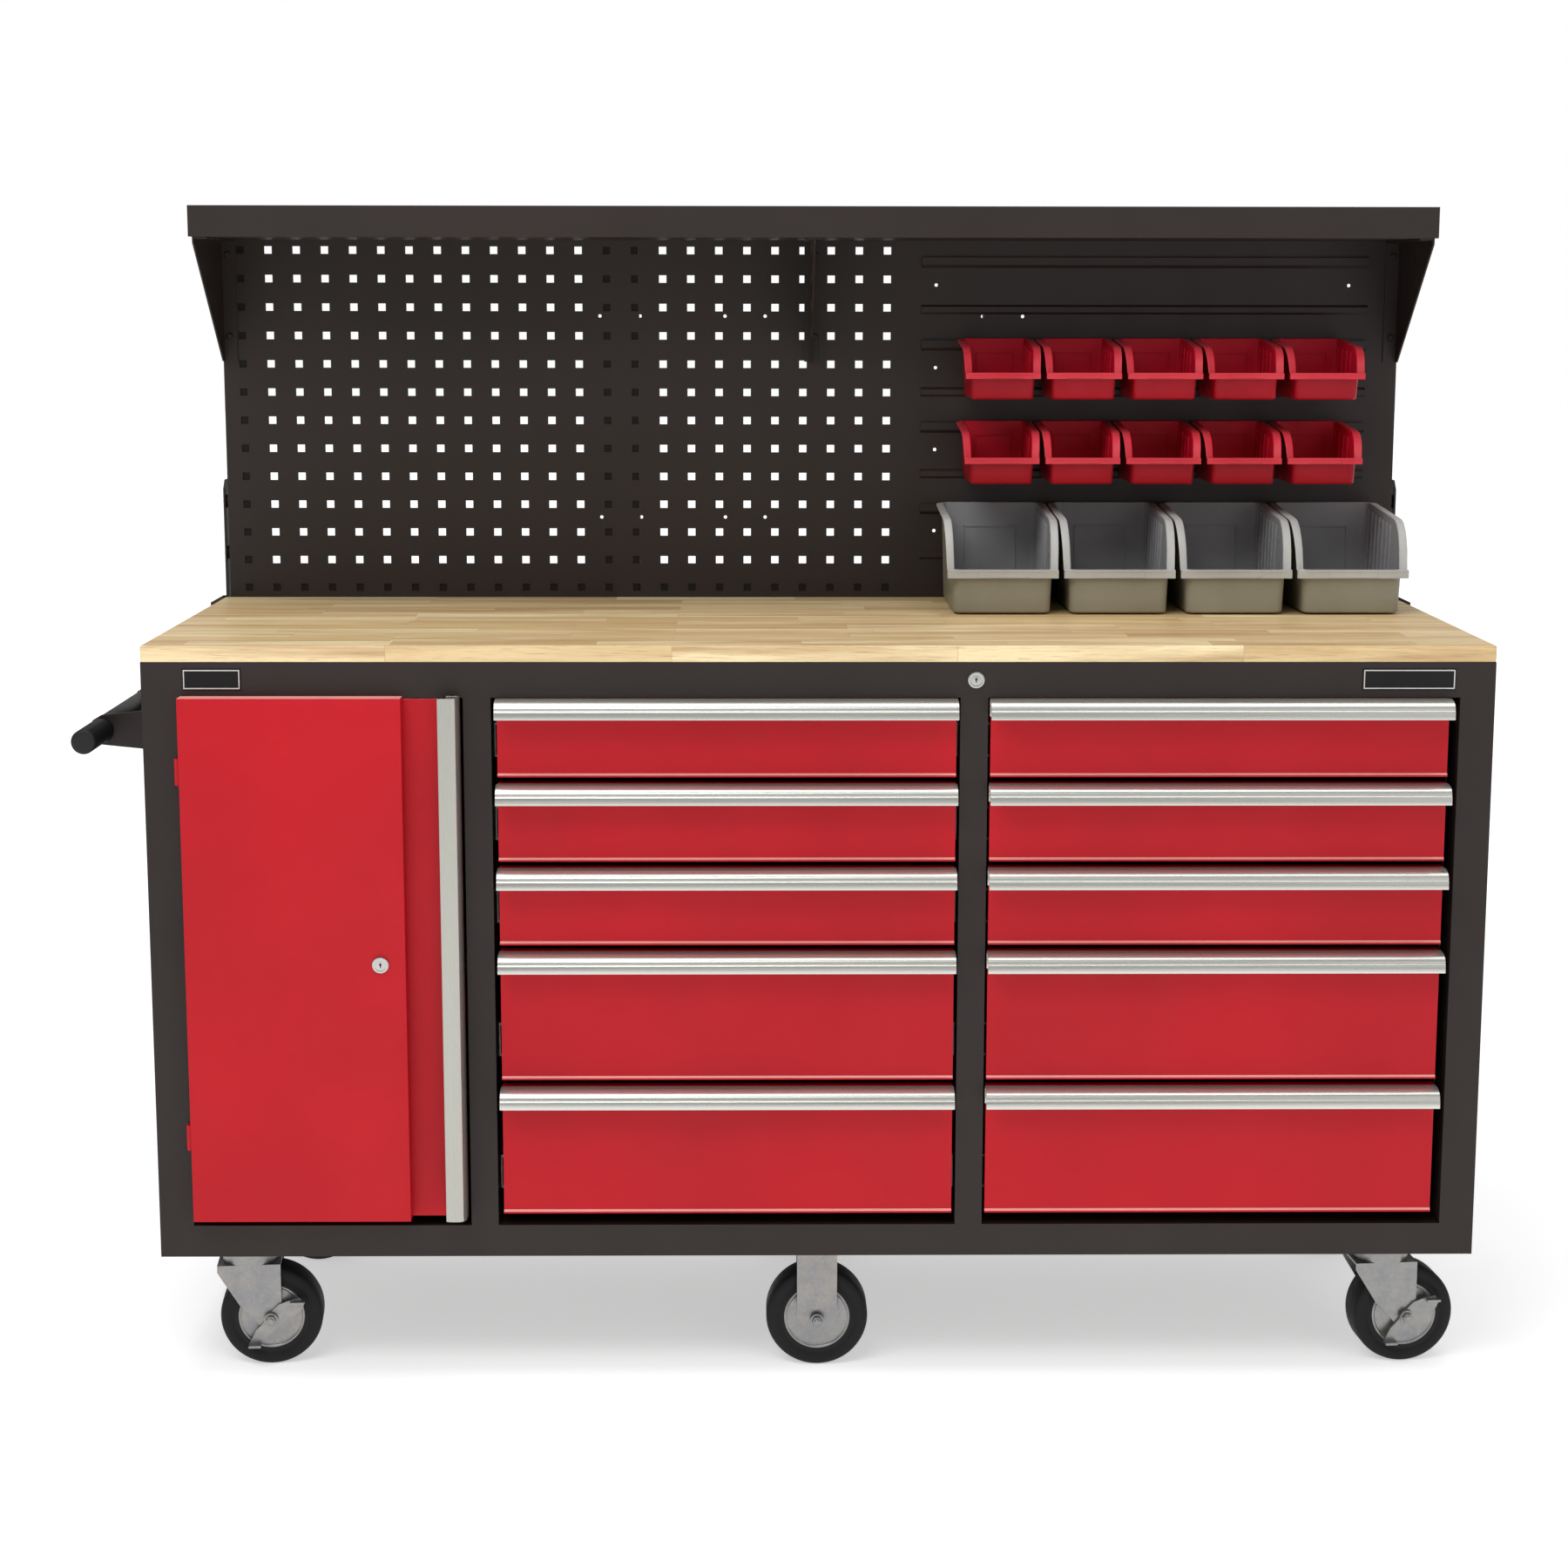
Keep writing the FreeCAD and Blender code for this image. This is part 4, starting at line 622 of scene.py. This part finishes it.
# How far an end cap stands out of the tube, in millimetres.
CAP_DEPTH = 4


def dress_handle():
    """A seamless black tube with rounded plastic end caps."""
    low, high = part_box("push_handle_bar")
    centre_x, centre_z = (low.x + high.x) / 2, (low.z + high.z) / 2
    radius = (high.z - low.z) / 2 / MM
    length = (high.y - low.y) / MM - 2 * CAP_DEPTH
    near = Vector((centre_x, low.y + CAP_DEPTH * MM, centre_z))
    far = Vector((centre_x, high.y - CAP_DEPTH * MM, centre_z))
    wall = [(radius - 2, 0), (radius - 0.5, 0), (radius, 0.5), (radius, length - 0.5), (radius - 0.5, length),
            (radius - 2, length)]
    bm = bmesh.new()
    add_lathe(bm, scaled(wall), near, (0, 1, 0), 64)
    tube = finish_piece("push_handle_tube", bm, [TUBE], "bench", 0, sharp=50)
    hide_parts("push_handle_bar")
    dome = [(0.001, -1.5), (12.8, -1.5), (12.8, 0.0), (14.95, 0.0), (14.95, 1.4), (14.2, 2.7),
            (12.6, 3.5), (10, 3.9), (0.001, 4.0)]
    bm = bmesh.new()
    for foot, side in ((near, -1), (far, 1)):
        add_lathe(bm, scaled(dome), foot, (0, side, 0), 64)
    finish_piece("push_handle_caps", bm, [CAP_PLASTIC], "bench", 0, sharp=50)


def dress_badges():
    """Two blank plates with a raised light border."""
    parts = sorted(solids("badge_plates"), key=lambda part: extent(part)[0].x)
    plates, borders = bmesh.new(), bmesh.new()
    inset, thick = 1.6 * MM, 1.3 * MM
    for part in parts:
        low, high = extent(part)
        add_block(plates, (low.x, low.y + 0.5 * MM, low.z), (high.x, high.y, high.z))
        left, right = low.x + inset, high.x - inset
        under, over = low.z + inset, high.z - inset
        for corners in (((left, over - thick), (right, over)), ((left, under), (right, under + thick)),
                        ((left, under + thick), (left + thick, over - thick)),
                        ((right - thick, under + thick), (right, over - thick))):
            (x0, z0), (x1, z1) = corners
            add_block(borders, (x0, low.y, z0), (x1, low.y + 0.7 * MM, z1))
        part.free()
    plate = finish_piece("badge_blanks", plates, [BADGE], "bench", 0.4 * MM)
    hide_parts("badge_plates")
    finish_piece("badge_borders", borders, [BADGE_EDGE], "bench", 0.2 * MM)


# The small screws' distances from the cabinet's left side, in millimetres.
STILE_FEET = (20, 398, 990, 1592)


def dress_bolts():
    """Bolts on the shelf brackets, handle feet and posts, and the small screws at the stiles' feet."""
    low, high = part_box("shelf_brackets")
    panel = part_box("back_panel")[0].y + 5 * MM
    bm = bmesh.new()
    flange = panel - 2.5 * MM
    xs = (low.x + 10 * MM, (low.x + high.x) / 2, high.x - 10 * MM)
    for x in xs:
        for z in (low.z + 33 * MM, high.z - 20 * MM):
            offset = 0 if x != xs[1] else 5.2 * MM
            add_button(bm, Vector((x + offset, flange, z)), (0, -1, 0), 4.6 * MM, 2.4 * MM, 28, 0.5)
    for part in solids("push_handle_brackets"):
        lowest, highest = extent(part)
        middle = (lowest.y + highest.y) / 2
        face = highest.x - 3 * MM
        for y in (middle - 19 * MM, middle + 19 * MM):
            for z in (lowest.z + 11 * MM, highest.z - 11 * MM):
                add_button(bm, Vector((face, y, z)), (-1, 0, 0), 5 * MM, 3 * MM, 28, 0.5)
        part.free()
    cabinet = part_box("front_frame")
    front = cabinet[0].y + 13 * MM
    for offset in STILE_FEET:
        foot = Vector((cabinet[0].x + offset * MM, front, cabinet[0].z + 20 * MM))
        add_button(bm, foot, (0, -1, 0), 2.2 * MM, 0.5 * MM, 20, 0.5)
    finish_piece("bench_bolts", bm, [CHARCOAL], "bench", 0, sharp=30)


# ---------------------------------------------------------------- bins

# The rim skin is a painted-highlight copy of the plastic, and the inner skin is a lighter painted-light copy for
# the shaded inside.
BODY_SKIN, RIM_HIGHLIGHT_SKIN, INNER_PAINTED_LIGHT_SKIN = range(3)
# The share of the rim's width that is lost at the front lip, then sizes in millimetres.
LIP_TAPER = 0.30
BIN_WALL = 2.2
FRONT_LEAN = 10
HOOK_DEPTH = 5.5
HOOK_HALF = 25
BIN_SHAPES = {
    # millimetres: floor width, how far forward the shoulder is and its height, height of the front lip
    "red": {"floor": 82, "shoulder": 104, "rise": 69, "lip": 35, "corner": 7, "rim": 8, "apron": 8,
            "ribs": 4},
    "grey": {"floor": 126, "shoulder": 158, "rise": 119, "lip": 57, "corner": 11, "rim": 8, "apron": 11,
             "ribs": 7},
}


def rounded_outline(half, back, front, corner, per_side=24, per_corner=8):
    """Points round a rectangle with rounded corners, anticlockwise from the back right, always as many."""
    points = []
    corners = ((half - corner, back - corner, 0), (-half + corner, back - corner, 90),
               (-half + corner, front + corner, 180), (half - corner, front + corner, 270))
    for index, (x, y, start) in enumerate(corners):
        for step in range(per_corner + 1):
            angle = math.radians(start + 90 * step / per_corner)
            points.append((x + corner * math.cos(angle), y + corner * math.sin(angle)))
        ahead = corners[(index + 1) % 4]
        angle = math.radians(ahead[2])
        target = (ahead[0] + corner * math.cos(angle), ahead[1] + corner * math.sin(angle))
        here = points[-1]
        for step in range(1, per_side):
            share = step / per_side
            points.append((here[0] + (target[0] - here[0]) * share, here[1] + (target[1] - here[1]) * share))
    return points


def rim_height(shape, tall, depth, y):
    """How high the wall stands at a distance in front of the bin's back, with the shoulder eased."""
    y = max(0.0, min(depth, y))
    if y <= shape["shoulder"]:
        height = tall + (shape["rise"] - tall) * y / shape["shoulder"]
    else:
        share = min(1.0, (y - shape["shoulder"]) / (depth - shape["corner"] - 1 - shape["shoulder"]))
        height = shape["lip"] + (shape["rise"] - shape["lip"]) * (1 - share ** 2) ** 0.6
    return height


def wall_half(shape, wide, tall, z):
    """Half the width over a bin's tapered side walls at a height."""
    floor_half = shape["floor"] / 2
    return floor_half + (wide / 2 - shape["rim"] - floor_half) * z / tall


def dress_bin(node):
    """A thin-walled moulded bin: tapered, rounded, with a turned-out rim, and its ribs and label ledge."""
    kind = node.split("_")[0]
    shape = BIN_SHAPES[kind]
    low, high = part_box(node)
    back = high.y - HOOK_DEPTH * MM
    depth, tall = (back - low.y) / MM, (high.z - low.z) / MM
    wide = (high.x - low.x) / MM
    centre = (low.x + high.x) / 2
    rim = shape["rim"]
    drop = shape["rise"] - shape["lip"]

    def plan(share, inset):
        half = wall_half(shape, wide, tall, share * tall) - inset
        front = -(depth - FRONT_LEAN + FRONT_LEAN * share) + inset
        return rounded_outline(half, -inset, front, max(1.5, shape["corner"] - inset))

    top_plan = plan(1.0, 0)
    tops = [rim_height(shape, tall, depth, -y) for _, y in top_plan]
    count = len(top_plan)
    cache = {}

    def plan_at(share, inset):
        key = (round(share, 3), inset)
        if key not in cache:
            cache[key] = plan(*key)
        return cache[key]

    def wall_ring(level, inset, bottom):
        ring = []
        for index in range(count):
            height = bottom + (tops[index] - bottom) * level
            x, y = plan_at(height / tall, inset)[index]
            ring.append((x, y, height))
        return ring

    def level_ring(inset, height):
        return [(x, y, height) for x, y, _ in wall_ring(0.0, inset, height)]

    def top_ring(inset, below):
        return [(x, y, z - below) for x, y, z in wall_ring(1.0, inset, 3.0)]

    def flange_ring(outward, below):
        ring = []
        half = wide / 2 - rim
        for index, (x, y) in enumerate(top_plan):
            fallen = min(1.0, max(0.0, (shape["rise"] - tops[index]) / drop))
            fade = min(1.0, max(0.0, -y / 12)) * (1 - LIP_TAPER * fallen)
            push = outward * fade * max(-1, min(1, x / (half * 0.94))) if abs(x) > half * 0.88 else 0
            ring.append((x + push, y, tops[index] - below))
        return ring

    outside = [wall_ring(0.0, 3.0, 0.0), level_ring(0.8, 1.0)]
    outside += [wall_ring(level, 0, 3.0) for level in (0.0, 0.35, 0.7)]
    # The turned-out rim takes the painted-highlight copy of the plastic.
    turned = [top_ring(0, 2.6), flange_ring(rim - 1.6, 2.6), flange_ring(rim, 2.0), flange_ring(rim, 0.7),
              flange_ring(rim - 0.9, 0)]
    # The inside walls, floor and ribs take the lighter painted-light copy of the plastic.
    inside = [top_ring(BIN_WALL - 0.8, 0), top_ring(BIN_WALL, 0.8)]
    inside += [wall_ring(level, BIN_WALL, BIN_WALL + 3.0) for level in (0.7, 0.35, 0.0)]
    inside += [level_ring(BIN_WALL + 3.0, BIN_WALL)]
    skins = [BODY_SKIN] * len(outside) + [RIM_HIGHLIGHT_SKIN] * len(turned) + [INNER_PAINTED_LIGHT_SKIN] * len(inside)
    bm = bmesh.new()
    made = []
    for ring in outside + turned + inside:
        made.append([bm.verts.new((centre + x * MM, back + y * MM, low.z + z * MM)) for x, y, z in ring])
    for skin, lower, upper in zip(skins, made, made[1:]):
        for index in range(count):
            after = (index + 1) % count
            face = bm.faces.new((lower[index], lower[after], upper[after], upper[index]))
            face.material_index = skin
    bm.faces.new(list(reversed(made[0]))).material_index = BODY_SKIN
    bm.faces.new(made[-1]).material_index = INNER_PAINTED_LIGHT_SKIN
    piece = finish_piece(node + "_shell", bm, BIN_PLASTICS[kind], node, 0, sharp=42)
    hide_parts(node)
    add_bin_details(node, kind, shape, Vector((centre, back, low.z)), (wide, depth, tall))


def add_bin_details(node, kind, shape, origin, size):
    """Ribs on a bin's inner walls, a panel on its back wall, the apron with its label slot, and the hook."""
    wide, depth, tall = size
    bm = bmesh.new()

    def block(skin, x0, x1, y0, y1, z0, z1):
        before = len(bm.faces)
        add_block(bm, origin + Vector((x0, y0, z0)) * MM, origin + Vector((x1, y1, z1)) * MM)
        for face in list(bm.faces)[before:]:
            face.material_index = skin

    def slanted_rib(side, y, thick, z0, z1):
        corners = []
        for z in (z0, z1):
            half = wall_half(shape, wide, tall, z) - BIN_WALL
            for inner in (0.6, -1.5):
                for shift in (-thick / 2, thick / 2):
                    corner = Vector((side * (half + inner), y + shift, z))
                    corners.append(bm.verts.new(origin + corner * MM))
        a, b, c, d, e, f, g, h = corners
        for quad in ((a, b, d, c), (e, g, h, f), (a, e, f, b), (c, d, h, g), (a, c, g, e), (b, f, h, d)):
            bm.faces.new(quad).material_index = INNER_PAINTED_LIGHT_SKIN

    for side in (-1, 1):
        for place in range(shape["ribs"]):
            y = -(12 + (shape["shoulder"] - 20) * place / (shape["ribs"] - 1))
            slanted_rib(side, y, 2.2, 8, rim_height(shape, tall, depth, -y) - 9)
    panel, under, over = wide * 0.24, tall * 0.28, tall * 0.76
    for x0, x1, z0, z1 in ((-panel, panel, tall * 0.74, over), (-panel, panel, under, tall * 0.30),
                           (-panel, -panel + 1.5, under, over), (panel - 1.5, panel, under, over)):
        block(INNER_PAINTED_LIGHT_SKIN, x0, x1, -BIN_WALL - 1.5, -BIN_WALL + 0.6, z0, z1)

    half = wide / 2 - shape["rim"]
    bar = wide / 2 - LIP_TAPER * shape["rim"]
    lip = shape["lip"]
    under, over = lip - shape["apron"], lip - 0.2
    # The apron and label slot also take the rim's painted-highlight copy of the plastic.
    block(RIM_HIGHLIGHT_SKIN, -bar, bar, -depth + 0.6, -depth + 2.6, under, over)
    block(RIM_HIGHLIGHT_SKIN, -half, half, -depth + 1.0, -depth + 6.5, lip - 2.6, over)
    for side in (-1, 1):
        inner, outer = side * (half + 1.2), side * (bar - 1.2)
        block(RIM_HIGHLIGHT_SKIN, inner - 1.2, inner + 1.2, -depth + 2.0, -depth + 9.0, under, lip - 1.5)
        block(RIM_HIGHLIGHT_SKIN, outer - 1.2, outer + 1.2, -depth + 2.0, -depth + 8.0, under, over)
    slot = wide * 0.22
    for z in (under + 1.0, over - 1.8):
        block(RIM_HIGHLIGHT_SKIN, -slot, slot, -depth, -depth + 0.8, z, z + 0.8)
    for x in (-slot, slot - 0.8):
        block(RIM_HIGHLIGHT_SKIN, x, x + 0.8, -depth, -depth + 0.8, under + 1.0, over - 1.0)
    block(BODY_SKIN, -HOOK_HALF, HOOK_HALF, -0.5, HOOK_DEPTH - 0.2, tall - 2.5, tall)
    block(BODY_SKIN, -HOOK_HALF, HOOK_HALF, 3.0, HOOK_DEPTH, tall - 10, tall)
    finish_piece(node + "_details", bm, BIN_PLASTICS[kind], node, 0.3 * MM)


# ---------------------------------------------------------------- everything

dress_cabinet()
for drawer in [name for name in NODES if name.startswith("drawer_") and name != "drawer_runners"]:
    dress_drawer(drawer)
dress_door()
dress_lock("door_lock")
dress_lock("main_lock")
dress_casters()
dress_handle()
dress_badges()
dress_bolts()
for name in [name for name in NODES if "_bin_" in name]:
    dress_bin(name)


# ---------------------------------------------------------------- studio

def make_floor():
    """A wide pale floor that glows, more strongly further from the middle: painted light that lightens the
    object's shadow on it, and further out fades the floor into the white backdrop.
    """
    look = Look("studio_floor", (0.96, 0.96, 0.96), 0.9, Specular_IOR_Level=0.1)
    look.set("Base Color", look.mix(look.noise(1.5, 3), (0.95, 0.95, 0.95), (0.97, 0.97, 0.97)))
    away = look.node("VectorMath", {"Vector": look.position}, operation="LENGTH").outputs["Value"]
    # Painted light: the floor's glow rises from 0.5 near the object to 0.8 far out.
    look.shader.inputs["Emission Color"].default_value = (1, 1, 1, 1)
    look.set("Emission Strength", look.span(away, 0.50, 0.80, 1.2, 3.5))
    bm = bmesh.new()
    bmesh.ops.create_grid(bm, x_segments=1, y_segments=1, size=30)
    mesh = bpy.data.meshes.new("floor")
    bm.to_mesh(mesh)
    bm.free()
    mesh.materials.append(look.material)
    floor = bpy.data.objects.new("floor", mesh)
    bpy.context.scene.collection.objects.link(floor)


def make_world():
    """A white studio: white to the camera, and bright above with a greyer horizon in reflections."""
    world = bpy.data.worlds.new("studio")
    world.use_nodes = True
    tree = world.node_tree
    output = tree.nodes["World Output"]
    seen = tree.nodes["Background"]
    seen.inputs["Color"].default_value = (1, 1, 1, 1)
    seen.inputs["Strength"].default_value = 1.0
    around = tree.nodes.new("ShaderNodeBackground")
    direction = tree.nodes.new("ShaderNodeTexCoord")
    split = tree.nodes.new("ShaderNodeSeparateXYZ")
    ramp = tree.nodes.new("ShaderNodeValToRGB")
    tree.links.new(direction.outputs["Generated"], split.inputs["Vector"])
    tree.links.new(split.outputs["Z"], ramp.inputs["Fac"])
    stops = ramp.color_ramp.elements
    stops[0].position, stops[0].color = 0.0, (0.52, 0.52, 0.50, 1)
    stops[1].position, stops[1].color = 0.70, (1.0, 1.0, 1.0, 1)
    tree.links.new(ramp.outputs["Color"], around.inputs["Color"])
    around.inputs["Strength"].default_value = 0.44
    path = tree.nodes.new("ShaderNodeLightPath")
    blend = tree.nodes.new("ShaderNodeMixShader")
    tree.links.new(path.outputs["Is Camera Ray"], blend.inputs["Fac"])
    tree.links.new(around.outputs["Background"], blend.inputs[1])
    tree.links.new(seen.outputs["Background"], blend.inputs[2])
    tree.links.new(blend.outputs["Shader"], output.inputs["Surface"])
    bpy.context.scene.world = world


def make_light(name, place, target, size, power):
    """A large soft box aimed at a point."""
    data = bpy.data.lights.new(name, "AREA")
    data.shape = "RECTANGLE"
    data.size, data.size_y = size
    data.energy = power
    lamp = bpy.data.objects.new(name, data)
    lamp.location = place
    lamp.rotation_mode = "QUATERNION"
    lamp.rotation_quaternion = (Vector(target) - Vector(place)).to_track_quat("-Z", "Y")
    bpy.context.scene.collection.objects.link(lamp)


def make_camera():
    """The photograph's viewpoint, found from the backboard's hole grid and the cabinet's edges."""
    data = bpy.data.cameras.new("camera")
    data.sensor_width = 36
    data.lens = 66.34
    camera = bpy.data.objects.new("camera", data)
    turn = Matrix.Rotation(-0.010906, 4, "Z") @ Matrix.Rotation(math.pi / 2 - 0.167304, 4, "X")
    turn = turn @ Matrix.Rotation(0.001259, 4, "Z")
    camera.matrix_world = Matrix.Translation((-0.0337, -3.6933, 1.3250)) @ turn
    bpy.context.scene.collection.objects.link(camera)
    bpy.context.scene.camera = camera


make_floor()
make_world()
make_light("key", (-1.3, -2.7, 3.7), (0, 0, 0.6), (2.6, 1.4), 50)
make_light("fill", (2.4, -3.4, 2.0), (0, 0, 0.7), (2.2, 2.2), 9)
make_light("top", (0, -0.5, 3.4), (0, 0, 0.9), (3.2, 1.6), 44)
make_camera()
bpy.context.scene.view_settings.view_transform = "Standard"
